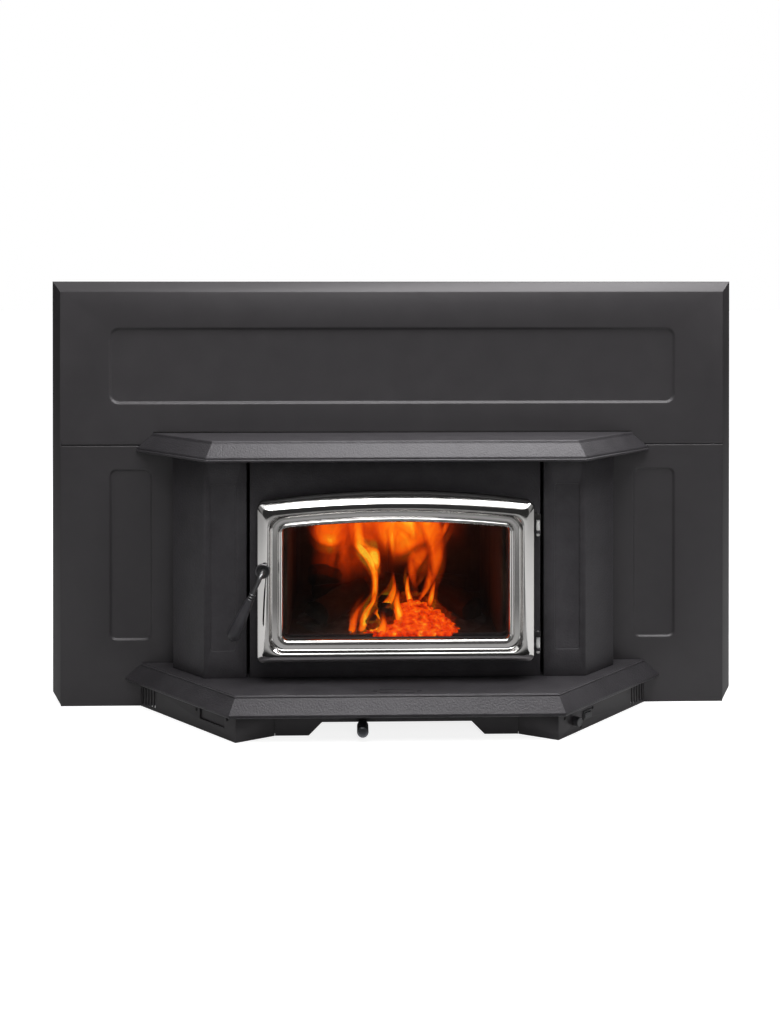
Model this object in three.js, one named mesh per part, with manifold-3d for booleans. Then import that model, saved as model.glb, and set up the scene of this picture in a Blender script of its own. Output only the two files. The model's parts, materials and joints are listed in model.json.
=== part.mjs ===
// Wood-burning fireplace insert with a flush surround, in millimetres.
// +X is to the right, +Y goes into the chimney and +Z is up, as seen from the room.
// The origin is at hearth level, in the middle, in the plane of the surround's front face.
import * as THREE from 'three';
import Module from 'manifold-3d';
import { mergeVertices } from 'three/addons/utils/BufferGeometryUtils.js';
import { ConvexGeometry } from 'three/addons/geometries/ConvexGeometry.js';

const wasm = await Module();
wasm.setup();

// ---------------------------------------------------------------- fits
const gap = 0.3; // between still pieces that touch
const run = 0.4; // between pieces that move on each other

// ---------------------------------------------------------------- surround
const surroundWidth = 1224;
const surroundHeight = 756;
const surroundDepth = 25; // front face to wall
const seamHeight = 463.5; // joint between the top and the side panels
const panelSheet = 2;
const panelFlange = 16;
const surroundOpeningHalf = 348;
const trimFace = 19; // width of the sloping edge, seen from the front
const trimSlope = 20; // how far the edge slopes back
const trimSheet = 1.6;
const trimInnerFlange = 14;
const trimWallFlange = 12;
const pressDepth = 4; // pressed fields in the panels
const pressSlope = 3;
const topFieldSide = 106; // margins of the pressed field in the top panel
const topFieldAbove = 83;
const topFieldBelow = 74.5;
const topFieldRadius = 16;
const sideFieldWidth = 75;
const sideFieldBottom = 116.5;
const sideFieldBelowSeam = 42.5;
const sideFieldRadius = 12;

// ---------------------------------------------------------------- cast front
const castWall = 6;
const topShelf = { top: 486, frontHalf: 311, depth: 119, step: 5, bevel: 20, drop: 21, lip: 4 };
const ashShelf = { top: 76.5, frontHalf: 265.5, depth: 183, step: 3, bevel: 21, drop: 23, lip: 3.5 };
const shelfStepOut = 1.5;
const shelfRound = 2.5; // rounded lower edge of the lip
const indicatorLength = 62; // raised air-control scale on the lower shelf
const indicatorLeft = -33;
const indicatorSetback = 12;
const indicatorRise = 0.8;
const pillarInner = 255;
const pillarDepth = 93;
const pillarInset = 9.5; // outer front corner, inside the top shelf's outline
const pillarFrontWidth = topShelf.frontHalf + topShelf.depth - pillarDepth - pillarInset
  - pillarInner;
const pillarChamfer = 61;
const pillarReturn = 73;
const pillarFieldSide = 19; // margins of the pressed field on a pillar
const pillarFieldEdge = 10.5;
const pillarFieldWidth = pillarFrontWidth - pillarFieldSide - pillarFieldEdge;
const pillarFieldBottom = 46.5;
const pillarFieldTop = 72;
const pillarFieldDepth = 1.5;
const facePlateFront = 90; // distance in front of the surround
const facePlateThick = 6;
const facePlateSideGap = 5.5;
const facePlateTop = 448;

// ---------------------------------------------------------------- base and blower pods
const basePlateSheet = 2.5;
const frontPlateDepth = 155;
const frontPlateHalf = 203;
const frontPlateSheet = 2;
const noseFlange = 14;
const lowCutHalf = 146.5; // recess under the front plate, at the hearth
const highCutHalf = 124.5;
const cutHeight = 22;
const skirtSheet = 2;
const skirtHeight = 58;
const skirtInset = 12; // inside the lower shelf's hollow, at the front
const skirtCornerInset = 0.5;
const skirtDepth = ashShelf.depth + ashShelf.bevel - castWall - skirtInset;
const skirtBackHalf = ashShelf.frontHalf + skirtDepth - skirtCornerInset;
const skirtLength = Math.round(skirtDepth * Math.SQRT2); // angled side, to the nearest mm
const slotCount = 5;
const slotWidth = 3.5;
const slotPitch = 8.5;
const slotStart = 6;
const slotLow = 5;
const slotHigh = 37;

// ---------------------------------------------------------------- controls on the right pod
// Places are measured along the pod's angled side, starting at the surround.
const coverSheet = 1.5;
const coverMargin = 14; // cover plates past the control opening, at each end
const controlLength = 65;
const controlInset = 29; // opening's end, back from the pod's front corner
const controlEnd = skirtLength - controlInset;
const controlStart = controlEnd - controlLength;
const controlLow = 18;
const controlHigh = 40;
const coverLow = 10;
const coverHigh = 46;
const coverCorner = 4;
const knobInset = 17; // from the opening's end
const knobAlong = controlEnd - knobInset;
const knobHeight = 20.5;
const knobRadius = 7.5;
const knobLength = 12;
const knobSpindle = 3;
const speedControlWidth = 20;
const speedControlHeight = 16;
const speedControlDepth = 16;
const switchSpacing = 36; // between switch and knob
const switchAlong = knobAlong - switchSpacing;
const switchHeight = 22.5;
const switchLength = 21;
const switchWidth = 12;
const switchDepth = 14;
const switchBezel = 1.2;
const switchFrame = 1.5;
const switchWall = 1.3;
const rockerWell = 9;
const rockerPivot = 1.3; // pivot, behind the pod's outer face
const rockerRise = 4.9; // rocker's tips above the pivot
const rockerSwing = 12; // degrees between its two positions

// ---------------------------------------------------------------- firebox
const fireboxHalf = 187; // between the side bricks
const fireboxFloor = 122; // top of the floor bricks
const fireboxBack = 314.5; // face of the rear bricks
const brick = 24;
const sideBrickHeight = 230;
const floorBricks = 3;
const floorBrickFront = -55;
const sideBrickFront = -60;
const shellWall = 3;
const shellTop = 440;
const baffleThick = 20;
const baffleFront = 5;
const channelSize = 24;
const channelWall = 2;
const channelFront = -70;
const tubeRadius = 9.5;
const tubeWall = 1.5;
const tubeInsert = 10;
const tubeFirst = 40;
const tubePitch = 95;
const tubeCount = 3;
const jetCount = 9;
const jetRadius = 2.5;
const flueCentre = 215;
const flueInner = 76; // radius of a 152 mm liner
const flueWall = 3;
const flueFlange = 16;
const flueFlangeThick = 4;
const flueTop = 500;
const casingSideGap = 130.7; // hot air space beside, behind and above the shell
const casingRearGap = 28.2;
const casingTopGap = 17;
const casingTaper = 190;
const casingTaperWidth = 75;
const casingSheet = 1.5;
const casingFront = 0.6;
const earSheet = 2.7; // lugs that carry the surround's side panels
const earLength = 56;
const earHeight = 60;
const earBottom = 200;
const inletY = [60, 88]; // power inlet in the casing's right side
const inletZ = [20, 42];
const inletDepth = 24;
const inletFlange = 4;
const inletSocketDepth = 12;

const shellHalf = fireboxHalf + brick + gap; // inner faces of the shell
const shellFloor = fireboxFloor - brick - gap;
const shellBack = fireboxBack + brick + gap;
const shellFront = facePlateThick - facePlateFront + gap;
const shellLow = shellFloor - shellWall;
const brickTop = fireboxFloor + gap + sideBrickHeight;
const channelLow = brickTop + gap;
const channelMiddle = channelLow + channelSize / 2;
const channelOuter = shellHalf - gap;
const casingHalf = shellHalf + shellWall + casingSideGap;
const casingRearHalf = casingHalf - casingTaperWidth;
const casingDepth = shellBack + shellWall + casingRearGap;
const casingTop = shellTop + casingTopGap;

// ---------------------------------------------------------------- air control
const airBoxHalf = 100;
const airBoxFront = 78;
const airBoxBack = 150;
const airBoxWall = 3;
const windowLeft = -20;
const windowWidth = 58;
const windowLow = 10;
const windowHigh = 30;
const leverRest = -57;
const leverHeight = 17.5;
const leverRadius = 3;
const leverKnobRadius = 9.5;
const leverKnobFront = 193;
const leverKnobLength = 34;
const leverKnobBore = 24;
const slideWidth = 70;
const slideLow = 6;
const slideHigh = 34;
const slideThick = 3;
const railThick = 3;
const railEnd = 62; // the rails carry the slide to its far stop
const airSlotHalf = 50;
const airSlotWidth = 10;
const airSlotInset = 12;
const channelPort = 9; // half width of the air ports in the shell's rear wall

// ---------------------------------------------------------------- blowers
const blowerInner = 214;
const blowerLength = 84;
const blowerCentreDepth = 90;
const blowerHeight = 30;
const blowerScroll = 27;
const blowerSheet = 1.5;
const impellerRadius = 21;
const impellerBore = 15;
const impellerBlades = 14;
const impellerDisc = 2;
const spindleRadius = 3;
const motorRadius = 19;
const motorLength = 24;
const motorBoreEnd = 6; // metal left behind the spindle's bore
const intakeInset = 8;
const blowerSeatMargin = 6; // base plate past the blower housings

// ---------------------------------------------------------------- door
// The door's outlines run from the glass opening (0) to the edge of the casting (1).
const glassOpening = { half: 190.5, low: 151, high: 348, rise: 9, corner: 8 };
const doorEdge = { half: 236.3, low: 109.5, high: 399, rise: 16.5, corner: 14 };
const doorBack = 94; // rear of the casting, in front of the surround
const doorFront = 116;
const doorSkin = 6;
const glassThick = 5;
const glassOverlap = 5;
const retainerThick = 4.5;
const ropeInside = 10;
const ropeSize = 9;
const ropeChamfer = 2.4;
const ropeStandoff = 0.4; // rope to face plate, closed
const channelDepth = 5.5;
const chromeOuter = 43.2; // offsets from the glass opening
const chromeCrestOuter = 31;
const chromeCrestInner = 28.6;
const chromeValleyOuter = 20.5;
const chromeValleyInner = 10.5;
const chromeBead = 5;
const chromeLine = 1.5; // fine line beside the bead
const chromeShoulderInset = 1.4;
const chromeCrest = 134.6; // heights, as distances in front of the surround
const chromeShoulder = 125.9;
const chromeEdge = 124.4;
const chromeValley = 124.8;
const chromeBeadTop = 129.8;
const doorOpeningOffset = 1; // hole in the face plate, outside the glass opening
const hingeX = 241.5;
const hingeDepth = 118;
const hingePin = 2.5;
const hingeShoulder = 3.4;
const hingeShoulderLength = 18;
const knuckleRadius = 4.6;
const knuckleLength = 9.8;
const lugLength = 5;
const hingeBall = 2.6;
const hingeHeights = [133, 332.5]; // tops of the two lugs on the face plate

// ---------------------------------------------------------------- door handle and latch
const handleX = -224;
const handleZ = 270;
const handleHang = 25; // degrees off vertical when latched
const shaftRadius = 4.5;
const bushRadius = 7;
const bushFlangeRadius = 12.4;
const bushFlange = 6;
const rodRadius = 3.6;
const rodForward = 163; // handle's plane, in front of the surround
const rodLength = 34;
const rodBend = 14;
const collarRadius = 5.2;
const collarRing = 3.5;
const collarPitch = 5;
const gripStartRadius = 6;
const gripEndRadius = 11.5;
const gripLength = 73;
const rodInGrip = 50;
const gripNutRadius = 4;
const gripNutLength = 4;
const camHub = 6;
const camBore = 3.2;
const camWidth = 8;
const camReach = 15.5;
const camThick = 6;
const camBehindPlate = 1;
const camSwing = 2.5; // extra slot width for the cam's arc as the door opens
const latchBoxDepth = 13;
const latchBoxWall = 2;

// ---------------------------------------------------------------- solids
function toSolid(geometry) {
  const bare = geometry.clone();
  bare.deleteAttribute('normal');
  bare.deleteAttribute('uv');
  const merged = mergeVertices(bare, 1e-4);
  const index = merged.getIndex().array;
  const triangles = [];
  for (let i = 0; i < index.length; i += 3) {
    const [a, b, c] = [index[i], index[i + 1], index[i + 2]];
    if (a !== b && b !== c && c !== a) triangles.push(a, b, c);
  }
  return new wasm.Manifold(new wasm.Mesh({
    numProp: 3,
    vertProperties: new Float32Array(merged.getAttribute('position').array),
    triVerts: new Uint32Array(triangles),
  }));
}

function toGeometry(solid) {
  const mesh = solid.getMesh();
  const geometry = new THREE.BufferGeometry();
  geometry.setAttribute('position', new THREE.BufferAttribute(mesh.vertProperties, 3));
  geometry.setIndex(new THREE.BufferAttribute(mesh.triVerts, 1));
  geometry.computeVertexNormals();
  return geometry;
}

const join = (first, ...others) => others.reduce((sum, solid) => sum.add(solid), first);
const cut = (first, ...others) => others.reduce((rest, solid) => rest.subtract(solid), first);
const moved = (solid, matrix) => toSolid(toGeometry(solid).applyMatrix4(matrix));

function mirrored(solid) {
  const geometry = toGeometry(solid).scale(-1, 1, 1);
  const index = geometry.getIndex().array;
  for (let i = 0; i < index.length; i += 3) {
    [index[i], index[i + 1]] = [index[i + 1], index[i]];
  }
  return toSolid(geometry);
}

function block([x0, x1], [y0, y1], [z0, z1]) {
  const box = new THREE.BoxGeometry(x1 - x0, y1 - y0, z1 - z0);
  return toSolid(box.translate((x0 + x1) / 2, (y0 + y1) / 2, (z0 + z1) / 2));
}

// Matrices that lay a drawing's two axes and its extrusion along the part's axes.
const alongZ = new THREE.Matrix4();
const alongX = new THREE.Matrix4().makeBasis(
  new THREE.Vector3(0, 1, 0), new THREE.Vector3(0, 0, 1), new THREE.Vector3(1, 0, 0));
const alongY = new THREE.Matrix4().makeBasis(
  new THREE.Vector3(1, 0, 0), new THREE.Vector3(0, 0, 1), new THREE.Vector3(0, -1, 0));

const outline = (points) => new THREE.Shape(points.map(([a, b]) => new THREE.Vector2(a, b)));

function extruded(shape, low, high, matrix) {
  const geometry = new THREE.ExtrudeGeometry(shape, { depth: high - low, bevelEnabled: false });
  return toSolid(geometry.translate(0, 0, low).applyMatrix4(matrix));
}

const plan = (points, zLow, zHigh) => extruded(outline(points), zLow, zHigh, alongZ);
const profile = (points, xLow, xHigh) => extruded(outline(points), xLow, xHigh, alongX);
const elevation = (points, yLow, yHigh) => extruded(outline(points), -yHigh, -yLow, alongY);

// A round bar along an axis through a point, between two places on that axis.
function bar(axis, radius, [a, b], low, high, sides = 16) {
  const geometry = new THREE.CylinderGeometry(radius, radius, high - low, sides);
  geometry.translate(0, (low + high) / 2, 0);
  if (axis === 'x') geometry.rotateZ(-Math.PI / 2).translate(0, a, b);
  if (axis === 'y') geometry.translate(a, 0, b);
  if (axis === 'z') geometry.rotateX(Math.PI / 2).translate(a, b, 0);
  return toSolid(geometry);
}

// A turned piece: radius and height pairs that start and end on the axis or close on themselves.
function turned(points, sides = 24) {
  return toSolid(new THREE.LatheGeometry(points.map(([r, h]) => new THREE.Vector2(r, h)), sides));
}

// The turned piece's height axis starts as +Y. These matrices stand it up or point it forwards.
const standing = new THREE.Matrix4().makeRotationX(Math.PI / 2);
const forwards = new THREE.Matrix4().makeRotationX(Math.PI);
const hanging = new THREE.Matrix4().makeRotationX(-Math.PI / 2);
const shifted = (x, y, z) => new THREE.Matrix4().makeTranslation(x, y, z);

const hull = (...rings) => toSolid(new ConvexGeometry(rings.flat()));

function stack(rings) {
  const slices = rings.slice(1).map((ring, i) => hull(rings[i], ring));
  return join(...slices);
}

// A sheet folded along a drawn line, which is its outer face. The sheet lies to the line's left.
function folded(points, thickness) {
  const line = points.map(([a, b]) => new THREE.Vector2(a, b));
  const sides = line.slice(1).map((point, i) => {
    const along = point.clone().sub(line[i]).normalize();
    return new THREE.Vector2(-along.y, along.x);
  });
  const inner = line.map((point, i) => {
    const before = sides[Math.max(i - 1, 0)];
    const after = sides[Math.min(i, sides.length - 1)];
    const mitre = before.clone().add(after).normalize();
    return point.clone().addScaledVector(mitre, thickness / mitre.dot(after));
  });
  return new THREE.Shape([...line, ...inner.reverse()]);
}

// A bar with the drawn section whose ends lean outwards by a share of the section's first axis.
function mitred(shape, low, high, lean, matrix) {
  const geometry = new THREE.ExtrudeGeometry(shape, { depth: 1, bevelEnabled: false });
  const position = geometry.getAttribute('position');
  for (let i = 0; i < position.count; i += 1) {
    const along = position.getZ(i) > 0.5 ? high : low;
    const slope = position.getZ(i) > 0.5 ? lean.high : -lean.low;
    position.setZ(i, along + slope * position.getX(i));
  }
  return toSolid(geometry.applyMatrix4(matrix));
}

function roundedRectangle([a0, a1], [b0, b1], radius, inset = 0, steps = 4) {
  const corners = [[a1, b1, 0], [a0, b1, 1], [a0, b0, 2], [a1, b0, 3]];
  return corners.flatMap(([a, b, quarter]) => {
    const signA = a === a1 ? 1 : -1;
    const signB = b === b1 ? 1 : -1;
    const reach = radius - inset;
    return Array.from({ length: steps + 1 }, (_, i) => {
      const angle = (quarter + i / steps) * Math.PI / 2;
      const centreA = a - signA * radius;
      const centreB = b - signB * radius;
      return [centreA + reach * Math.cos(angle), centreB + reach * Math.sin(angle)];
    });
  });
}

// ---------------------------------------------------------------- scene graph
const insert = new THREE.Group();

const finishes = {
  paint: { color: 0x3b393b, roughness: 0.55, metalness: 0.35 },
  castPaint: { color: 0x403e40, roughness: 0.6, metalness: 0.35 },
  blackSteel: { color: 0x1d1c1c, roughness: 0.6, metalness: 0.4 },
  chrome: { color: 0xdfe0e2, roughness: 0.12, metalness: 1 },
  steel: { color: 0x8d8f92, roughness: 0.4, metalness: 0.9 },
  galvanised: { color: 0x9a9c9b, roughness: 0.5, metalness: 0.7 },
  brick: { color: 0xb89a74, roughness: 0.95, metalness: 0 },
  board: { color: 0xc9bb9c, roughness: 0.95, metalness: 0 },
  glass: { color: 0x2a2320, roughness: 0.05, metalness: 0 },
  rope: { color: 0x55524d, roughness: 1, metalness: 0 },
  blackPlastic: { color: 0x1b1b1c, roughness: 0.5, metalness: 0 },
};

function add(name, solid, finish, parent = insert) {
  const mesh = new THREE.Mesh(toGeometry(solid), new THREE.MeshStandardMaterial(finishes[finish]));
  mesh.name = name;
  parent.add(mesh);
  return mesh;
}

function addPair(name, solid, finish) {
  add(`${name}_right`, solid, finish);
  add(`${name}_left`, mirrored(solid), finish);
}

// ---------------------------------------------------------------- surround panels
const panelHalf = surroundWidth / 2 - trimFace - gap;
const panelTop = surroundHeight - trimFace - gap;

// A pressed field: the pocket in front and the tray that stands out behind.
function pressedField(a, b, radius, depth, sheet) {
  const ring = (inset, y) => roundedRectangle(a, b, radius, inset)
    .map(([x, z]) => new THREE.Vector3(x, y, z));
  const pocket = hull(ring(-pressSlope / depth, -1), ring(pressSlope, depth));
  const tray = hull(ring(-sheet, sheet / 2), ring(pressSlope - sheet, depth + sheet));
  return { pocket, tray };
}

function pressedPanel([x0, x1], [z0, z1], fieldX, fieldZ, radius) {
  const { pocket, tray } = pressedField(fieldX, fieldZ, radius, pressDepth, panelSheet);
  return cut(join(block([x0, x1], [0, panelSheet], [z0, z1]), tray), pocket);
}

function addSurroundPanels() {
  const fieldEdge = surroundWidth / 2 - topFieldSide;
  const seamLow = seamHeight - gap / 2;
  const seamHigh = seamHeight + gap / 2;
  const behind = [panelSheet / 2, panelSheet + panelFlange];
  const top = pressedPanel([-panelHalf, panelHalf], [seamHigh, panelTop],
    [-fieldEdge, fieldEdge], [seamHeight + topFieldBelow, surroundHeight - topFieldAbove],
    topFieldRadius);
  const topFlange = block([trimInnerFlange - panelHalf, panelHalf - trimInnerFlange],
    behind, [seamHigh, seamHigh + panelSheet]);
  add('surround_top_panel', join(top, topFlange), 'paint');

  const side = pressedPanel([surroundOpeningHalf, panelHalf], [0, seamLow],
    [fieldEdge - sideFieldWidth, fieldEdge], [sideFieldBottom, seamHeight - sideFieldBelowSeam],
    sideFieldRadius);
  const sideTopFlange = block([surroundOpeningHalf, panelHalf - trimInnerFlange],
    behind, [seamLow - panelSheet, seamLow]);
  const openingFlange = block([surroundOpeningHalf, surroundOpeningHalf + panelSheet],
    behind, [0, seamLow]);
  addPair('surround_side_panel', join(side, sideTopFlange, openingFlange), 'paint');
}

function addTrim() {
  const start = panelSheet + gap;
  const section = folded([
    [-trimInnerFlange, start],
    [0, start],
    [trimFace, start + trimSlope],
    [trimFace, surroundDepth],
    [trimFace - trimWallFlange, surroundDepth],
  ], trimSheet);
  const inner = surroundWidth / 2 - trimFace;
  const mitreGap = gap / 2;
  const onTop = new THREE.Matrix4().makeBasis(
    new THREE.Vector3(0, 0, 1), new THREE.Vector3(0, 1, 0), new THREE.Vector3(-1, 0, 0));
  onTop.setPosition(0, 0, surroundHeight - trimFace);
  add('trim_top', mitred(section, -inner + mitreGap, inner - mitreGap, { low: 1, high: 1 }, onTop),
    'paint');
  const onSide = shifted(inner, 0, 0);
  const sideTop = surroundHeight - trimFace - mitreGap;
  const side = mitred(section, 0, sideTop, { low: -1, high: 1 }, onSide);
  const hearth = block([0, surroundWidth], [-1, surroundDepth + 1], [-surroundDepth, 0]);
  addPair('trim_side', cut(side, hearth), 'paint');
}

addSurroundPanels();
addTrim();

// ---------------------------------------------------------------- cast shelves
const tan22 = Math.tan(Math.PI / 8);

// The shelf's plan has a straight front and two 45 degree sides that run to the surround.
function shelfRing(shelf, offset, z, back) {
  const half = shelf.frontHalf + offset * tan22;
  const depth = shelf.depth + offset;
  const wide = half + depth + back;
  return [[-wide, back], [-half, -depth], [half, -depth], [wide, back]]
    .map(([x, y]) => new THREE.Vector3(x, y, z));
}

function castShelf(shelf) {
  const bevelTop = shelf.top - shelf.step;
  const bevelBottom = bevelTop - shelf.drop;
  const lipBottom = bevelBottom - shelf.lip;
  const bottom = lipBottom - shelfRound;
  const outer = (offset, z) => shelfRing(shelf, offset, z, -gap);
  const inner = (offset, z) => shelfRing(shelf, offset, z, 1);
  const body = join(
    hull(outer(0, shelf.top), outer(shelfStepOut, bevelTop)),
    hull(outer(shelfStepOut, bevelTop), outer(shelf.bevel, bevelBottom),
      outer(shelf.bevel, lipBottom), outer(shelf.bevel - shelfRound, bottom)));
  const hollow = hull(
    inner(-castWall, shelf.top - castWall), inner(shelf.bevel - castWall, bevelBottom),
    inner(shelf.bevel - castWall, bottom - 1));
  return cut(body, hollow);
}

function addShelves() {
  add('top_shelf', castShelf(topShelf), 'castPaint');
  const notchHalf = pillarInner - facePlateSideGap + gap;
  const notch = block([-notchHalf, notchHalf], [gap - facePlateFront + facePlateThick, 1],
    [0, ashShelf.top + 1]);
  const scaleY = -(ashShelf.depth - indicatorSetback);
  const scale = block([indicatorLeft, indicatorLeft + indicatorLength], [scaleY, scaleY + 3],
    [ashShelf.top - 1, ashShelf.top + indicatorRise]);
  add('ash_shelf', join(cut(castShelf(ashShelf), notch), scale), 'castPaint');
}

// ---------------------------------------------------------------- pillars and face plate
const standTop = topShelf.top - castWall - gap;
const standBottom = ashShelf.top + gap;

function addPillars() {
  const front = pillarInner + pillarFrontWidth;
  const section = folded([
    [front + pillarChamfer, -gap],
    [front + pillarChamfer, pillarChamfer - pillarDepth],
    [front, -pillarDepth],
    [pillarInner, -pillarDepth],
    [pillarInner, pillarReturn - pillarDepth],
  ].reverse(), castWall);
  const wall = extruded(section, standBottom, standTop, alongZ);
  const field = roundedRectangle(
    [pillarInner + pillarFieldSide, pillarInner + pillarFieldSide + pillarFieldWidth],
    [ashShelf.top + pillarFieldBottom, standTop - pillarFieldTop], 5);
  const recess = elevation(field, -pillarDepth - 1, -pillarDepth + pillarFieldDepth);
  addPair('pillar', cut(wall, recess), 'castPaint');
}

// The door's arched outline at a distance outside the glass opening, as points in x and z.
function doorOutline(offset, steps = 8, cornerSteps = 3) {
  const share = offset / (doorEdge.half - glassOpening.half);
  const value = (key) => glassOpening[key] + (doorEdge[key] - glassOpening[key]) * share;
  const half = value('half');
  const low = value('low');
  const corner = value('corner');
  const rise = value('rise');
  const shoulder = value('high') - rise;
  const arc = (cx, cz, from) => Array.from({ length: cornerSteps + 1 }, (_, i) => {
    const angle = (from + i / cornerSteps) * Math.PI / 2;
    return [cx + corner * Math.cos(angle), cz + corner * Math.sin(angle)];
  });
  const span = half - corner;
  const radius = (span * span + rise * rise) / (2 * rise);
  const crown = Array.from({ length: steps - 1 }, (_, i) => {
    const x = span * (1 - 2 * (i + 1) / steps);
    return [x, shoulder + rise - radius + Math.sqrt(radius * radius - x * x)];
  });
  return [
    ...arc(half - corner, shoulder - corner, 0),
    ...crown,
    ...arc(corner - half, shoulder - corner, 1),
    ...arc(corner - half, low + corner, 2),
    ...arc(half - corner, low + corner, 3),
  ];
}

const doorRing = (offset, depth) => doorOutline(offset)
  .map(([x, z]) => new THREE.Vector3(x, -depth, z));

function latchSlot() {
  const side = camHub + run;
  return [
    [handleX - side - camSwing, handleZ - side],
    [handleX + side, handleZ - side],
    [handleX + side, handleZ + camReach + 2 * run],
    [handleX - side - camSwing, handleZ + camReach + 2 * run],
  ];
}

function latchBox() {
  const slot = latchSlot();
  const [x0, x1] = [handleX - camReach - 2 * run, slot[1][0]];
  const [z0, z1] = [slot[0][1], slot[2][1]];
  const front = facePlateThick - facePlateFront;
  const wall = latchBoxWall;
  const outer = block([x0 - wall, x1 + wall], [front - 1, front + latchBoxDepth + wall],
    [z0 - wall, z1 + wall]);
  const inner = block([x0, x1], [front, front + latchBoxDepth], [z0, z1]);
  return { outer, inner };
}

function addFacePlate() {
  const half = pillarInner - facePlateSideGap;
  const back = facePlateThick - facePlateFront;
  const plate = block([-half, half], [-facePlateFront, back], [standBottom, facePlateTop]);
  const opening = elevation(doorOutline(doorOpeningOffset), -facePlateFront - 1, back + 1);
  const slot = elevation(latchSlot(), -facePlateFront - 1, back + 1);
  const lugs = hingeHeights.map((top) => {
    const arm = block([hingeX - knuckleRadius, hingeX + knuckleRadius],
      [-hingeDepth, back], [top - lugLength, top]);
    const eye = bar('z', knuckleRadius, [hingeX, -hingeDepth], top - lugLength, top);
    const hole = bar('z', hingePin + gap, [hingeX, -hingeDepth], top - lugLength - 1, top + 1);
    return cut(join(arm, eye), hole);
  });
  const box = latchBox();
  add('face_plate', cut(join(cut(plate, opening), box.outer, ...lugs), box.inner, slot),
    'castPaint');
}

addShelves();
addPillars();
addFacePlate();

// ---------------------------------------------------------------- base
const skirtFront = skirtBackHalf - skirtDepth;

function addBasePlate() {
  const wingOuter = blowerInner + blowerLength + blowerSeatMargin;
  const wingInner = blowerInner - 2;
  const wingFront = -blowerCentreDepth - blowerScroll - blowerSeatMargin;
  const centreFront = -airBoxFront - railThick * 2 - gap * 2;
  const half = [
    [casingRearHalf, casingDepth],
    [casingHalf, casingTaper],
    [casingHalf, casingFront],
    [wingOuter, casingFront],
    [wingOuter, wingFront],
    [wingInner, wingFront],
    [wingInner, centreFront],
  ];
  const mirror = half.map(([x, y]) => [-x, y]).reverse();
  add('base_plate', plan([...half, ...mirror], 0, basePlateSheet), 'blackSteel');
}

function addFrontPlate() {
  const half = frontPlateHalf - gap;
  const top = ashShelf.top - castWall - gap;
  const face = elevation([
    [-half, 0], [-lowCutHalf, 0], [-highCutHalf, cutHeight], [highCutHalf, cutHeight],
    [lowCutHalf, 0], [half, 0], [half, top], [-half, top],
  ], -frontPlateDepth, frontPlateSheet - frontPlateDepth);
  const flange = block([-half, half], [-frontPlateDepth + 1, noseFlange - frontPlateDepth],
    [top - frontPlateSheet, top]);
  add('front_plate', join(face, flange), 'paint');
}

// The right pod's angled side: x runs along it from the surround, y points out of it.
const sideMatrix = new THREE.Matrix4()
  .makeRotationZ(Math.PI * 5 / 4).setPosition(skirtBackHalf, 0, 0);

function throughSide(x, z) {
  return moved(block(x, [-skirtSheet - 1, 1], z), sideMatrix);
}

const around = (middle, size) => [middle - size / 2 - gap, middle + size / 2 + gap];

function addSkirts() {
  const section = folded([
    [frontPlateHalf, -frontPlateDepth],
    [skirtFront, -skirtDepth],
    [skirtBackHalf, 0],
  ], skirtSheet);
  const surroundFace = block([0, surroundWidth], [-gap, surroundDepth], [-1, skirtHeight + 1]);
  const sheet = cut(extruded(section, 0, skirtHeight, alongZ), surroundFace);
  const slots = Array.from({ length: slotCount }, (_, i) => {
    const start = slotStart + i * slotPitch;
    return throughSide([start, start + slotWidth], [slotLow, slotHigh]);
  });
  const louvred = cut(sheet, ...slots);
  const switchHole = throughSide(around(switchAlong, switchLength),
    around(switchHeight, switchWidth));
  const spindleHole = moved(bar('y', knobSpindle + run, [knobAlong, knobHeight],
    -skirtSheet - 1, 1), sideMatrix);
  const opening = throughSide([controlStart, controlEnd], [controlLow, controlHigh]);
  add('pod_skirt_right', cut(louvred, switchHole, spindleHole), 'paint');
  add('pod_skirt_left', mirrored(cut(louvred, opening)), 'paint');
}

addBasePlate();
addFrontPlate();
addSkirts();

// ---------------------------------------------------------------- firebox
const airSlotY = [shellFront + airSlotInset, shellFront + airSlotInset + airSlotWidth];

function addShell() {
  const wall = shellWall;
  const outer = block([-shellHalf - wall, shellHalf + wall], [shellFront, shellBack + wall],
    [shellLow, shellTop]);
  const inner = block([-shellHalf, shellHalf], [shellFront - 1, shellBack],
    [shellFloor, shellTop - wall]);
  const flue = bar('z', flueInner, [0, flueCentre], shellTop - wall - 1, shellTop + 1, 32);
  const airSlot = block([-airSlotHalf, airSlotHalf], airSlotY, [shellLow - 1, shellFloor + 1]);
  const portX = channelOuter - channelSize / 2;
  const ports = [-portX, portX].map((x) => block([x - channelPort, x + channelPort],
    [shellBack - 1, shellBack + wall + 1],
    [channelMiddle - channelPort, channelMiddle + channelPort]));
  add('firebox_shell', cut(outer, inner, flue, airSlot, ...ports), 'blackSteel');
}

function addBricks() {
  const half = fireboxHalf + brick;
  const back = fireboxBack + brick;
  const floorWidth = (2 * half - (floorBricks - 1) * gap) / floorBricks;
  for (let i = 0; i < floorBricks; i += 1) {
    const x = -half + i * (floorWidth + gap);
    add(`floor_brick_${i + 1}`, block([x, x + floorWidth], [floorBrickFront, back],
      [fireboxFloor - brick, fireboxFloor]), 'brick');
  }
  const rise = [fireboxFloor + gap, brickTop];
  const sideLength = (fireboxBack - gap - sideBrickFront - gap) / 2;
  for (let i = 0; i < 2; i += 1) {
    const y = sideBrickFront + i * (sideLength + gap);
    const side = block([fireboxHalf, half], [y, y + sideLength], rise);
    add(`right_brick_${i + 1}`, side, 'brick');
    add(`left_brick_${i + 1}`, mirrored(side), 'brick');
  }
  for (let i = 0; i < 2; i += 1) {
    const x = i === 0 ? -half : gap / 2;
    add(`back_brick_${i + 1}`, block([x, x + half - gap / 2], [fireboxBack, back], rise), 'brick');
  }
}

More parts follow.
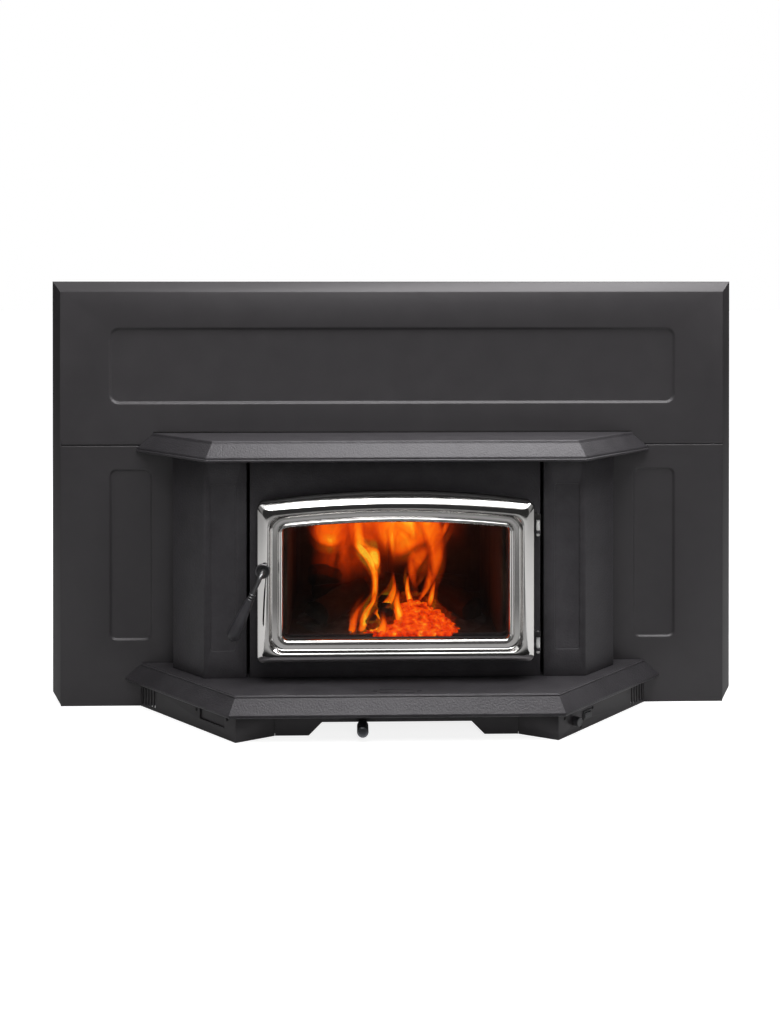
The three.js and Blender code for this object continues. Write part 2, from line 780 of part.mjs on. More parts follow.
function addAirTubes() {
  const inner = channelOuter - channelSize;
  const outer = block([inner, channelOuter], [channelFront, shellBack - gap],
    [channelLow, channelLow + channelSize]);
  const hollow = block([inner + channelWall, channelOuter - channelWall],
    [channelFront + channelWall, shellBack],
    [channelLow + channelWall, channelLow + channelSize - channelWall]);
  const places = Array.from({ length: tubeCount }, (_, i) => tubeFirst + i * tubePitch);
  const holes = places.map((y) => bar('x', tubeRadius + gap, [y, channelMiddle],
    inner - 1, inner + channelWall + 1));
  addPair('air_channel', cut(outer, hollow, ...holes), 'blackSteel');
  const end = inner + tubeInsert;
  const pipe = cut(bar('x', tubeRadius, [0, 0], -end, end),
    bar('x', tubeRadius - tubeWall, [0, 0], -end - 1, end + 1));
  const jets = Array.from({ length: jetCount }, (_, i) => {
    const x = inner * 1.8 * (i / (jetCount - 1) - 0.5);
    return bar('y', jetRadius, [x, 0], -tubeRadius - 1, 0, 8);
  });
  places.forEach((y, i) => {
    const tube = add(`air_tube_${i + 1}`, cut(pipe, ...jets), 'blackSteel');
    tube.position.set(0, y, channelMiddle);
  });
  const baffleLow = channelLow + channelSize + gap;
  add('baffle_board', block([-channelOuter, channelOuter], [baffleFront, shellBack - gap],
    [baffleLow, baffleLow + baffleThick]), 'board');
}

function addFlue() {
  const outer = flueInner + flueWall;
  const collar = turned([
    [flueInner, shellTop + gap], [outer + flueFlange, shellTop + gap],
    [outer + flueFlange, shellTop + gap + flueFlangeThick],
    [outer, shellTop + gap + flueFlangeThick], [outer, flueTop], [flueInner, flueTop],
    [flueInner, shellTop + gap],
  ], 32);
  const mesh = add('flue_collar', moved(collar, standing), 'castPaint');
  mesh.position.set(0, flueCentre, 0);
}

function addCasing() {
  const low = basePlateSheet + gap;
  const half = [[casingHalf, casingFront], [casingHalf, casingTaper],
    [casingRearHalf, casingDepth]];
  const line = [...half, ...half.map(([x, y]) => [-x, y]).reverse()];
  const walls = extruded(folded(line, casingSheet), low, casingTop, alongZ);
  const top = plan(line, casingTop - casingSheet, casingTop);
  const ears = [-1, 1].map((side) => {
    const x = [side * (casingHalf - 1), side * (casingHalf + earSheet)].sort((a, b) => a - b);
    return block(x, [panelSheet, panelSheet + earLength], [earBottom, earBottom + earHeight]);
  });
  const flue = bar('z', flueInner + 2 * flueWall, [0, flueCentre], casingTop - 5, casingTop + 1,
    32);
  const inlet = block([casingHalf - 5, casingHalf + 5],
    [inletY[0] - gap, inletY[1] + gap], [inletZ[0] - gap, inletZ[1] + gap]);
  add('convection_casing', cut(join(walls, top, ...ears), flue, inlet), 'galvanised');
}

function addPowerInlet() {
  const [y0, y1] = inletY;
  const [z0, z1] = inletZ;
  const edge = inletFlange;
  const body = block([casingHalf + gap - inletDepth, casingHalf + gap], [y0, y1], [z0, z1]);
  const flange = block([casingHalf + gap, casingHalf + earSheet],
    [y0 - edge, y1 + edge], [z0 - edge, z1 + edge]);
  const socket = block([casingHalf - inletSocketDepth, casingHalf + earSheet + 1],
    [y0 + edge / 2, y1 - edge / 2], [z0 + edge / 2, z1 - edge / 2]);
  add('power_inlet', cut(join(body, flange), socket), 'blackPlastic');
}

addShell();
addBricks();
addAirTubes();
addFlue();
addCasing();
addPowerInlet();

// ---------------------------------------------------------------- air control
const slideY = [-airBoxFront - run - slideThick, -airBoxFront - run];

function addAirBox() {
  const low = basePlateSheet + gap;
  const high = shellLow - gap;
  const wall = airBoxWall;
  const outer = block([-airBoxHalf, airBoxHalf], [-airBoxFront, airBoxBack], [low, high]);
  const inner = block([wall - airBoxHalf, airBoxHalf - wall],
    [wall - airBoxFront, airBoxBack - wall], [low + wall, high - wall]);
  const window = block([windowLeft, windowLeft + windowWidth],
    [-airBoxFront - 1, wall - airBoxFront + 1], [windowLow, windowHigh]);
  const airSlot = block([-airSlotHalf, airSlotHalf], airSlotY, [high - wall - 1, high + 1]);
  const lipBack = slideY[0] - run;
  const lipFront = lipBack - railThick / 2;
  const rails = [
    { near: slideHigh + run, far: slideHigh + run + railThick, lip: slideHigh - railThick },
    { near: slideLow - run, far: low, lip: slideLow + railThick },
  ].map(({ near, far, lip }) => profile([
    [1 - airBoxFront, near], [lipBack, near], [lipBack, lip], [lipFront, lip],
    [lipFront, far], [1 - airBoxFront, far],
  ], railThick - airBoxHalf, railEnd));
  add('air_box', cut(join(outer, ...rails), inner, window, airSlot), 'blackSteel');
}

function addAirControl() {
  const slide = block([leverRest - slideWidth / 2, leverRest + slideWidth / 2], slideY,
    [slideLow, slideHigh]);
  const knobBack = leverKnobFront - leverKnobLength;
  const rod = bar('y', leverRadius, [leverRest, leverHeight],
    -knobBack - leverKnobBore, slideY[1] - 1, 12);
  add('air_control_slide', join(slide, rod), 'steel');
  const bore = leverRadius + gap;
  const knob = turned([
    [0, leverKnobBore + gap], [bore, leverKnobBore + gap], [bore, 0],
    [leverKnobRadius - 1, 0], [leverKnobRadius, 2], [leverKnobRadius, leverKnobLength - 5],
    [leverKnobRadius - 1.5, leverKnobLength - 1], [leverKnobRadius - 4, leverKnobLength],
    [0, leverKnobLength],
  ], 20);
  const mesh = add('air_control_knob', moved(knob, forwards), 'steel');
  mesh.position.set(leverRest, -knobBack, leverHeight);
}

addAirBox();
addAirControl();

// ---------------------------------------------------------------- controls
const pod = new THREE.Group();
pod.position.set(skirtBackHalf, 0, 0);
pod.rotation.z = Math.PI * 5 / 4;
insert.add(pod);

const coverFront = -skirtSheet - gap;
const coverBack = coverFront - coverSheet;

function addPodPlates() {
  const corners = roundedRectangle([controlStart - coverMargin, controlEnd + coverMargin],
    [coverLow, coverHigh], coverCorner);
  const cover = elevation(corners, coverBack, coverFront);
  const spindleHole = bar('y', knobSpindle + run, [knobAlong, knobHeight],
    coverBack - 1, coverFront + 1);
  const switchHole = block(around(switchAlong, switchLength), [coverBack - 1, coverFront + 1],
    around(switchHeight, switchWidth));
  add('control_plate', cut(cover, spindleHole, switchHole), 'blackSteel', pod);
  add('blank_cover_plate', mirrored(moved(cover, sideMatrix)), 'paint');
}

function addSpeedControl() {
  const front = coverBack - gap;
  const back = front - speedControlDepth;
  const body = block([-speedControlWidth / 2, speedControlWidth / 2], [back, front],
    [-speedControlHeight / 2, speedControlHeight / 2]);
  const bore = bar('y', knobSpindle + run, [0, 0], back + 3, front + 1);
  const control = add('speed_control', cut(body, bore), 'blackPlastic', pod);
  control.position.set(knobAlong, 0, knobHeight);
  const skirt = bar('y', knobRadius, [0, 0], run, knobLength - 2, 20);
  const crown = bar('y', knobRadius - 1, [0, 0], run + 1, knobLength - 1, 20);
  const spindle = bar('y', knobSpindle, [0, 0], back + 4, run + 1);
  const pointer = block([-1, 1], [run + 2, knobLength], [0, knobRadius - 1]);
  const knob = add('speed_knob', join(skirt, crown, spindle, pointer), 'blackPlastic', pod);
  knob.position.set(knobAlong, 0, knobHeight);
}

function addSwitch() {
  const [halfX, halfZ] = [switchLength / 2, switchWidth / 2];
  const front = gap + switchBezel;
  const body = block([-halfX, halfX], [-switchDepth, gap + switchBezel / 2], [-halfZ, halfZ]);
  const bezel = block([-halfX - switchFrame, halfX + switchFrame], [gap, front],
    [-halfZ - switchFrame, halfZ + switchFrame]);
  const well = block([switchWall - halfX, halfX - switchWall], [-rockerWell, front + 1],
    [switchWall - halfZ, halfZ - switchWall]);
  const housing = add('switch_housing', cut(join(body, bezel), well), 'blackPlastic', pod);
  housing.position.set(switchAlong, 0, switchHeight);
  const tip = halfX - switchWall - 2 * run;
  const rocker = plan([
    [-tip, 2], [-2.5, -2.5], [2.5, -2.5], [tip, 2], [tip, rockerRise],
    [0, rockerRise - 1], [-tip, rockerRise],
  ], switchWall + run - halfZ, halfZ - switchWall - run);
  const mesh = add('rocker_switch', rocker, 'blackPlastic', pod);
  mesh.position.set(switchAlong, -rockerPivot, switchHeight);
  mesh.rotation.z = -THREE.MathUtils.degToRad(rockerSwing / 2);
}

addPodPlates();
addSpeedControl();
addSwitch();

// ---------------------------------------------------------------- blowers
const blowerOuter = blowerInner + blowerLength;
const impellerInset = blowerSheet + run;

function addBlowers() {
  const centre = [-blowerCentreDepth, blowerHeight];
  const s = blowerScroll;
  const wrap = profile([
    [s, s], [0, s], [-s * 0.7, s * 0.7], [-s, 0], [-s * 0.7, -s * 0.7], [0, -s],
    [s, -s],
  ], blowerInner, blowerOuter);
  const t = blowerSheet;
  const hollow = profile([
    [s + 1, s - t], [0, s - t], [t - s * 0.7, s * 0.7 - t], [t - s, 0], [t - s * 0.7, t - s * 0.7],
    [0, t - s], [s + 1, t - s],
  ], blowerInner + t, blowerOuter - t);
  const intake = block([blowerInner + intakeInset, blowerOuter - intakeInset], [-s - 1, -s * 0.5],
    [-s * 0.35, s * 0.55]);
  const shaftHole = bar('x', spindleRadius + run, [0, 0], blowerInner - 1, blowerInner + t + 1);
  const housing = moved(cut(wrap, hollow, intake, shaftHole), shifted(0, ...centre));
  addPair('blower_housing', housing, 'galvanised');

  const motor = cut(
    bar('x', motorRadius, [0, 0], blowerInner - gap - motorLength, blowerInner - gap, 20),
    bar('x', spindleRadius + run, [0, 0], blowerInner - gap - motorLength + motorBoreEnd, blowerInner + 1));
  addPair('blower_motor', moved(motor, shifted(0, ...centre)), 'blackSteel');

  const drumHalf = blowerLength / 2 - impellerInset;
  const disc = (x0, x1) => bar('x', impellerRadius, [0, 0], x0, x1, 20);
  const blades = Array.from({ length: impellerBlades }, (_, i) => {
    const angle = 2 * Math.PI * i / impellerBlades;
    const blade = block([0.5 - drumHalf, drumHalf - 0.5], [impellerBore, impellerRadius - 0.5],
      [-0.6, 0.6]);
    const lean = new THREE.Matrix4().makeTranslation(0, 0, 3);
    return moved(blade, new THREE.Matrix4().makeRotationX(angle).multiply(lean));
  });
  const spindle = bar('x', spindleRadius, [0, 0], -drumHalf - impellerInset - 15, drumHalf, 12);
  const impeller = join(disc(-drumHalf, impellerDisc - drumHalf),
    disc(drumHalf - impellerDisc, drumHalf), spindle, ...blades);
  const middle = blowerInner + blowerLength / 2;
  const right = add('impeller_right', impeller, 'steel');
  right.position.set(middle, ...centre);
  const left = add('impeller_left', impeller, 'steel');
  left.position.set(-middle, ...centre);
  left.rotation.z = Math.PI;
}

addBlowers();

// ---------------------------------------------------------------- door
const doorEdgeOffset = doorEdge.half - glassOpening.half;
const door = new THREE.Group();
insert.add(door);

function doorStack(...steps) {
  return stack(steps.map(([offset, depth]) => doorRing(offset, depth)));
}

function handleHole() {
  return bar('y', bushRadius + gap, [handleX, handleZ], -chromeCrest - 5, 5 - doorBack);
}

function addDoorFrame() {
  const edge = doorEdgeOffset;
  const body = doorStack([edge, doorBack], [edge, doorFront - 4], [edge - 3, doorFront]);
  const opening = doorStack([0, doorBack - 1], [0, doorFront + 1]);
  const rebate = doorStack([glassOverlap + gap, doorBack - 1],
    [glassOverlap + gap, doorFront - doorSkin]);
  const ropeOuter = doorStack([ropeInside + ropeSize + gap, doorBack - 1],
    [ropeInside + ropeSize + gap, doorBack + channelDepth]);
  const ropeInner = doorStack([ropeInside - gap, doorBack - 2],
    [ropeInside - gap, doorBack + channelDepth + 1]);
  const knuckles = hingeHeights.map((lugTop) => {
    const low = lugTop + gap + hingeShoulderLength + run;
    const eye = bar('z', knuckleRadius, [hingeX, -hingeDepth], low, low + knuckleLength);
    const arm = block([hingeX - knuckleRadius - 2.5, hingeX],
      [-hingeDepth - knuckleRadius, doorSkin * 2 - hingeDepth], [low, low + knuckleLength]);
    const hole = bar('z', hingePin + run, [hingeX, -hingeDepth], low - 1, low + knuckleLength + 1);
    return cut(join(eye, arm), hole);
  });
  const frame = cut(body, opening, rebate, cut(ropeOuter, ropeInner), handleHole());
  add('door_frame', join(frame, ...knuckles), 'blackSteel', door);
}

function addDoorTrim() {
  const back = doorFront + gap;
  const body = doorStack([chromeOuter, back], [chromeOuter, chromeEdge],
    [chromeOuter - chromeShoulderInset, chromeShoulder], [chromeCrestOuter, chromeCrest]);
  const valley = doorStack([chromeCrestInner + 0.6, chromeCrest + 1],
    [chromeValleyOuter, chromeValley]);
  const bead = doorStack([chromeValleyInner, chromeValley - 1], [chromeValleyInner, chromeValley],
    [chromeValleyInner - 3, chromeBeadTop]);
  const lineOuter = chromeValleyInner + chromeLine;
  const line = cut(doorStack([lineOuter, chromeValley - 1], [lineOuter, chromeValley + 1]),
  doorStack([chromeValleyInner, chromeValley - 3], [chromeValleyInner, chromeValley + 2]));
  const opening = doorStack([0, back - 1], [0, chromeValley], [chromeBead + 0.6, chromeBeadTop + 1]);
  const trim = cut(join(cut(body, valley), bead), line, opening, handleHole());
  add('door_trim', trim, 'chrome', door);
}

function addGlass() {
  const glassFront = doorFront - doorSkin - gap;
  const glassBack = glassFront - glassThick + gap;
  add('door_glass', doorStack([glassOverlap, glassBack], [glassOverlap, glassFront]), 'glass',
    door);
  const ringFront = glassBack - gap;
  const ringBack = ringFront - retainerThick;
  const ring = cut(doorStack([glassOverlap, ringBack], [glassOverlap, ringFront]),
    doorStack([0.5, ringBack - 1], [0.5, ringFront + 1]));
  add('glass_retainer', ring, 'blackSteel', door);
}

function addRope() {
  const [near, far] = [facePlateFront + ropeStandoff, doorBack + channelDepth - gap];
  const [a, b, c] = [ropeInside, ropeInside + ropeSize, ropeChamfer];
  const outer = doorStack([b - c, near], [b, near + c], [b, far - c], [b - c, far]);
  const inner = doorStack([a + c + 1, near - 1], [a + c, near], [a, near + c], [a, far - c],
    [a + c, far], [a + c + 1, far + 1]);
  add('rope_gasket', cut(outer, inner), 'rope', door);
}

function addHingePins() {
  ['lower', 'upper'].forEach((place, i) => {
    const lugTop = hingeHeights[i];
    const shoulder = lugTop + gap;
    const knuckle = shoulder + hingeShoulderLength;
    const lugLow = lugTop - lugLength - gap;
    const pin = turned([
      [0, lugLow - hingeBall * 2], [hingeBall * 0.7, lugLow - hingeBall * 1.7],
      [hingeBall * 1.2, lugLow - hingeBall], [hingeBall * 1.2, lugLow],
      [hingePin, lugLow], [hingePin, shoulder], [hingeShoulder, shoulder],
      [hingeShoulder, knuckle], [hingePin, knuckle], [hingePin, knuckle + knuckleLength],
      [0, knuckle + knuckleLength],
    ], 16);
    const mesh = add(`hinge_pin_${place}`, moved(pin, standing), 'steel');
    mesh.position.set(hingeX, -hingeDepth, 0);
  });
}

addDoorFrame();
addDoorTrim();
addGlass();
addRope();
addHingePins();

// ---------------------------------------------------------------- handle
const camFront = facePlateFront - facePlateThick - camBehindPlate;
const camBack = camFront - camThick;
const gripStart = rodLength + 2 * collarPitch;

const handle = new THREE.Group();
handle.position.set(handleX, 0, handleZ);
handle.rotation.y = THREE.MathUtils.degToRad(handleHang);
door.add(handle);

function addBushing() {
  const bore = shaftRadius + run;
  const back = doorBack + gap;
  const seat = chromeCrest + gap;
  const front = seat + bushFlange;
  const bushing = turned([
    [bore, back], [bushRadius, back], [bushRadius, seat], [bushFlangeRadius, seat],
    [bushFlangeRadius, front - 1.5], [bushFlangeRadius - 1.5, front],
    [bushFlangeRadius - 3, front - 0.8], [bore + 2.5, front - 3], [bore, front - 3],
    [bore, back],
  ]);
  const mesh = add('handle_bushing', moved(bushing, forwards), 'chrome', door);
  mesh.position.set(handleX, 0, handleZ);
}

function addShaft() {
  const bend = rodForward - rodBend;
  const shaft = turned([
    [0, camBack - 1.5], [camBore, camBack - 1.5], [camBore, camFront + gap],
    [shaftRadius, camFront + gap], [shaftRadius, bend], [shaftRadius - 1.5, bend + 1.5],
    [0, bend + 2],
  ], 20);
  const path = new THREE.CurvePath();
  const place = (depth, down) => new THREE.Vector3(0, -depth, -down);
  path.add(new THREE.LineCurve3(place(bend - 6, 0), place(bend, 0)));
  path.add(new THREE.QuadraticBezierCurve3(place(bend, 0), place(rodForward, 0),
    place(rodForward, rodBend)));
  path.add(new THREE.LineCurve3(place(rodForward, rodBend), place(rodForward, gripStart + rodInGrip)));
  const round = new THREE.Shape().absarc(0, 0, rodRadius, 0, Math.PI * 2);
  const rod = toSolid(new THREE.ExtrudeGeometry(round,
    { steps: 24, extrudePath: path, curveSegments: 6, bevelEnabled: false }));
  const collars = [0, 1].map((i) => {
    const start = rodLength + i * collarPitch;
    return bar('z', collarRadius, [0, -rodForward], -start - collarRing, -start);
  });
  add('handle_shaft', join(moved(shaft, forwards), rod, ...collars), 'chrome', handle);
}

function addGrip() {
  const bore = rodRadius + gap;
  const boreDepth = rodInGrip + gap;
  const [a, b] = [gripStartRadius, gripEndRadius];
  const grip = turned([
    [0, boreDepth], [bore, boreDepth], [bore, 0], [a, 0], [a + 1.2, 8],
    [a + (b - a) * 0.8, gripLength * 0.62], [b, gripLength * 0.85], [b - 1, gripLength * 0.95],
    [b - 4, gripLength], [gripNutRadius, gripLength], [gripNutRadius, gripLength + gripNutLength],
    [0, gripLength + gripNutLength],
  ]);
  const mesh = add('handle_grip', moved(grip, hanging), 'blackPlastic', handle);
  mesh.position.set(0, -rodForward, -gripStart);
}

function addCam() {
  const hub = bar('y', camHub, [0, 0], -camFront, -camBack);
  const tongue = block([-camReach, 0], [-camFront, -camBack], [-camWidth / 2, camWidth / 2]);
  const bore = bar('y', camBore + gap, [0, 0], -camFront - 1, 1 - camBack);
  const mesh = add('latch_cam', cut(join(hub, tongue), bore), 'steel', door);
  mesh.position.set(handleX, 0, handleZ);
}

addBushing();
addShaft();
addGrip();
addCam();

export default insert;
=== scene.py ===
# %% [markdown]
# Fireplace insert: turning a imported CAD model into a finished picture.
# The frame file holds every solid in its real place, in metres: X to the right, Y into the
# chimney, Z up. This script gives the solids soft edges and real finishes, adds the small
# pieces that a CAD model leaves out, lays a fire, and sets up the camera and the studio.

import json
import math

import bmesh
import bpy
from mathutils import Matrix, Vector, noise


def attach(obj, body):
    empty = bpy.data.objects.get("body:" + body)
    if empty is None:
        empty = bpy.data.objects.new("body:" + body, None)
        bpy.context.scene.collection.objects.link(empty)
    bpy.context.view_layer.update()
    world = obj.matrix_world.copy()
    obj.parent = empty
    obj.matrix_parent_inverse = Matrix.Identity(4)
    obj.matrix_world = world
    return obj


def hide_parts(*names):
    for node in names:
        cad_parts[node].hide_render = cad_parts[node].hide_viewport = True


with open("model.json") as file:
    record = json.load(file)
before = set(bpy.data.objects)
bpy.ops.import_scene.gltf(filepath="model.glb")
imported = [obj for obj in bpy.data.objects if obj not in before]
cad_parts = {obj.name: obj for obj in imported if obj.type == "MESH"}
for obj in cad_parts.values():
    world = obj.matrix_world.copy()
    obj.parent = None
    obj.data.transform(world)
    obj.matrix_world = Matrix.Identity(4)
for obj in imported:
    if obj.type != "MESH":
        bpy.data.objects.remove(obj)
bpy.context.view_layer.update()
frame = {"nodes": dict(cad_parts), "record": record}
scene = bpy.context.scene

# %% [markdown]
# Everything on the drawing is in millimetres, and colours are written as the hex codes that a
# paint chart uses. Blender wants metres and linear light, so two small converters come first,
# and with them a helper for the arcs of a profile.


# %% Converters
def mm(*values):
    return Vector(values) / 1000


def colour(code):
    """A hex sRGB colour as linear RGBA."""
    channels = [int(code[i:i + 2], 16) / 255 for i in (1, 3, 5)]
    linear = [c / 12.92 if c <= 0.04045 else ((c + 0.055) / 1.055) ** 2.4 for c in channels]
    return (*linear, 1)


def arc(centre, radius, first, last, count=6):
    """Points on an arc of a profile, angles in degrees from the outward direction."""
    steps = [math.radians(first + (last - first) * i / count) for i in range(count + 1)]
    return [(centre[0] + radius * math.cos(a), centre[1] + radius * math.sin(a))
            for a in steps]


print("charcoal in linear light:", [round(c, 3) for c in colour("#3b393b")])


# %% [markdown]
# A finish is a small node tree. Nodes can be clicked together in the shader editor; in a
# script one helper adds a node with its settings and links, and every recipe below then
# reads as a list of what the surface is made of.


# %% Node helper
def wire(owner, node, *values, **named):
    """Sets inputs of a node by place or by name. A node's output socket is linked."""
    inputs = list(enumerate(values))
    inputs += [(name.replace("_", " "), value) for name, value in named.items()]
    for key, value in inputs:
        if isinstance(value, bpy.types.NodeSocket):
            owner.node_tree.links.new(value, node.inputs[key])
        else:
            node.inputs[key].default_value = value


def add_node(owner, kind, *values, stops=(), **named):
    """Adds a node. Names in small letters are its settings, the others are its inputs.
    stops: places on a colour ramp, each with a hex colour or a grey level."""
    new = owner.node_tree.nodes.new(kind)
    for name in [name for name in named if name.islower()]:
        setattr(new, name, named.pop(name))
    wire(owner, new, *values, **named)
    if stops:
        band = new.color_ramp.elements
        while len(band) < len(stops):
            band.new(0.5)
        for stop, (at, shade) in zip(band, stops):
            stop.position = at
            stop.color = colour(shade) if isinstance(shade, str) else (shade,) * 3 + (1,)
    return new


def blank_material(name):
    material = bpy.data.materials.new(name)
    material.use_nodes = True
    return material, material.node_tree.nodes["Principled BSDF"]


def show(material, last):
    """Sends this shader output to the surface."""
    wire(material, material.node_tree.nodes["Material Output"], Surface=last)


print("node helper ready")

# %% [markdown]
# Most finishes differ in a few measures: two tints that drift into each other, how rough they
# are, and the size and height of the grain. The grain is noise in object coordinates, so its
# size is real: a noise scale of 1000 / p repeats every p mm. Image textures could do the same,
# but would need unwrapped meshes and files to carry along.


# %% Painted, cast, fired and moulded surfaces
def surface(name, tints, rough, metal=0.0, grain=1.0, height=0.05, drift=60.0):
    """tints: two hex colours. rough: least and most. grain, height, drift: mm."""
    material, shader = blank_material(name)
    place = add_node(material, "ShaderNodeTexCoord").outputs["Object"]
    fine = add_node(material, "ShaderNodeTexNoise", Vector=place, Scale=1000 / grain,
                    Detail=3.0, Roughness=0.6).outputs["Fac"]
    broad = add_node(material, "ShaderNodeTexNoise", Vector=place, Scale=1000 / drift,
                     Detail=4.0, Roughness=0.55).outputs["Fac"]
    mixed = add_node(material, "ShaderNodeMath", fine, 0.45, broad, operation="MULTIPLY_ADD")
    ramp = add_node(material, "ShaderNodeValToRGB", mixed.outputs[0],
                    stops=((0.5, tints[0]), (0.95, tints[1])))
    span = add_node(material, "ShaderNodeMapRange", Value=broad, From_Min=0.3, From_Max=0.7,
                    To_Min=rough[0], To_Max=rough[1])
    bump = add_node(material, "ShaderNodeBump", Height=fine, Strength=0.6,
                    Distance=height / 1000)
    wire(material, shader, Base_Color=ramp.outputs["Color"], Metallic=metal,
         Roughness=span.outputs["Result"], Normal=bump.outputs["Normal"])
    return material


print("surface recipe ready")

# %% Paint, steel and zinc
# Sprayed stove paint on sheet steel, with fine metal flake: an even, satin charcoal. The
# spray's grain is below 1 mm; it is drawn at 3 mm so that it survives the viewing distance.
panel_paint = surface("sprayed_metallic_stove_paint", ("#373537", "#3a383a"), (0.44, 0.48),
                      metal=0.35, grain=3.0, height=0.16, drift=40)
# The same paint on a sand casting: the grain of the mould shows through as a fine peel.
cast_paint = surface("stove_paint_on_sand_casting", ("#363437", "#3f3d40"), (0.45, 0.49),
                     metal=0.35, grain=3.2, height=1.1, drift=30)
# Matt black heat paint, baked on: deep, with barely a sheen.
black_steel = surface("matt_black_heat_paint", ("#141313", "#1e1c1c"), (0.5, 0.65),
                      metal=0.2, grain=0.8, height=0.04)
# Rolled plate under soot: dry and almost without highlights.
soot_steel = surface("sooted_steel_plate", ("#0c0b0b", "#1b1816"), (0.75, 0.9),
                     metal=0.1, grain=1.5, height=0.1)
# Mild steel from the lathe: bright, with soft highlights.
bare_steel = surface("turned_mild_steel", ("#8a8b8d", "#a5a6a8"), (0.28, 0.4), metal=1.0,
                     grain=0.6, height=0.01)
# Nickel plating on the hinge pins: the brightest of the small parts.
pin_steel = surface("bright_plated_steel", ("#cfcfce", "#e2e2e0"), (0.3, 0.4), metal=0.6,
                    grain=0.6, height=0.01)
# Hot-dip zinc sheet: grey crystals of about 9 mm that drift in tone.
zinc = surface("hot_dip_zinc_sheet", ("#85888a", "#a3a6a7"), (0.38, 0.5), metal=0.75,
               grain=9.0, height=0.01, drift=45)
print("last of the metals:", zinc.name)

# %% Brick, board, rope, plastic and wood
# Pressed firebrick, browned by smoke: dry and speckled.
firebrick = surface("sooted_firebrick", ("#2a211b", "#5a4636"), (0.85, 0.95), grain=2.5,
                    height=0.5, drift=70)
# Pressed vermiculite board: dry and flaky.
board = surface("pressed_fibre_board", ("#4f463a", "#8d8069"), (0.9, 0.97), grain=1.6,
                height=0.3)
# Knitted glass rope, coated with graphite: soft dark loops of about 2 mm.
rope_weave = surface("knitted_glass_rope", ("#2c2a27", "#4a4743"), (0.9, 0.98), grain=2.2,
                     height=0.6)
# Moulded plastic in black and dark grey: smooth, with one broad highlight.
black_plastic = surface("moulded_black_plastic", ("#161617", "#1e1e1f"), (0.38, 0.5),
                        grain=0.5, height=0.02)
grey_plastic = surface("moulded_grey_plastic", ("#2e2e30", "#38383a"), (0.35, 0.45),
                       grain=0.5, height=0.02)
# Heat-resistant grip, finely textured in its mould: a broad, soft highlight.
grip_rubber = surface("heat_resistant_grip", ("#2b2a2d", "#39383b"), (0.34, 0.44),
                      grain=0.9, height=0.05)
# Blackened steel rod, polished by hands: dark, with a narrow highlight.
dark_steel = surface("blackened_polished_steel", ("#5c5c5d", "#727172"), (0.26, 0.36),
                     metal=0.8, grain=0.6, height=0.01)
# Brushed steel knob: a grey that smears the light a little.
knob_steel = surface("brushed_knob_steel", ("#5e6063", "#7c7e82"), (0.3, 0.42), metal=0.9,
                     grain=0.5, height=0.01)
# Charred log: black, brown where the char broke off, with cracks every 7 mm or so.
bark = surface("charred_split_log", ("#0a0807", "#3d2a1f"), (0.85, 0.95), grain=7.0,
               height=2.2, drift=30)
# Wood ash: pale crumbs of about 3 mm.
ash = surface("wood_ash", ("#2b2725", "#6a645e"), (0.92, 0.98), grain=3.0, height=1.2,
              drift=25)
print("last finish:", ash.name)

# %% [markdown]
# Polished plating has almost no grain. What makes it look real is a very faint haze from
# wiping, so its roughness drifts a little, and everything else comes from what it reflects.

# %% Polished plating
chrome, shader = blank_material("polished_bright_plating")
place = add_node(chrome, "ShaderNodeTexCoord").outputs["Object"]
haze = add_node(chrome, "ShaderNodeTexNoise", Vector=place, Scale=18.0,
                Detail=5.0).outputs["Fac"]
span = add_node(chrome, "ShaderNodeMapRange", Value=haze, To_Min=0.05, To_Max=0.16)
tone = add_node(chrome, "ShaderNodeValToRGB", haze, stops=((0, "#d6d4d2"), (1, "#e6e4e2")))
wire(chrome, shader, Base_Color=tone.outputs["Color"], Metallic=1.0,
     Roughness=span.outputs["Result"])
print("plating roughness: 0.05 to 0.16")

# %% [markdown]
# Stove glass is a clear ceramic sheet with a smoke film on its inside. A sheet this thin bends
# light too little to see, so most of it is plainly transparent and only a share is real glass
# with its mirror. Studio light is held back by the film, so the firebox stays dark.

# %% Stove glass
stove_glass, shader = blank_material("clear_glass_ceramic")
place = add_node(stove_glass, "ShaderNodeTexCoord").outputs["Object"]
film = add_node(stove_glass, "ShaderNodeTexNoise", Vector=place, Scale=9.0,
                Detail=6.0).outputs["Fac"]
film_tone = add_node(stove_glass, "ShaderNodeValToRGB", film,
                     stops=((0, "#e8dccb"), (1, "#fffaf2")))
wire(stove_glass, shader, Base_Color=film_tone.outputs["Color"], Roughness=0.02,
     Transmission_Weight=1.0, IOR=1.45)
shadow = add_node(stove_glass, "ShaderNodeLightPath").outputs["Is Shadow Ray"]
held = add_node(stove_glass, "ShaderNodeMapRange", Value=shadow, To_Min=0.97, To_Max=0.3)
clear = add_node(stove_glass, "ShaderNodeBsdfTransparent", held.outputs["Result"])
share = add_node(stove_glass, "ShaderNodeMapRange", Value=shadow, To_Min=0.85, To_Max=1.0)
either = add_node(stove_glass, "ShaderNodeMixShader", share.outputs["Result"],
                  shader.outputs["BSDF"], clear.outputs["BSDF"])
show(stove_glass, either.outputs["Shader"])
print("glass refractive index:", shader.inputs["IOR"].default_value)

# %% [markdown]
# A CAD solid has perfectly sharp edges, and no real casting or folded sheet does. The edge
# catches light because it is slightly round. So each visible solid is copied, its triangles
# are joined back into flat faces, and its edges get a narrow bevel of the real radius. A
# bevel modifier could do it as well; the operator lets each solid pick its edges by angle.


# %% Finished copies of CAD solids
def object_of(name, data, material):
    """Makes an object of a bmesh."""
    mesh = bpy.data.meshes.new(name)
    data.to_mesh(mesh)
    data.free()
    mesh.materials.append(material)
    made = bpy.data.objects.new(name, mesh)
    scene.collection.objects.link(made)
    return made


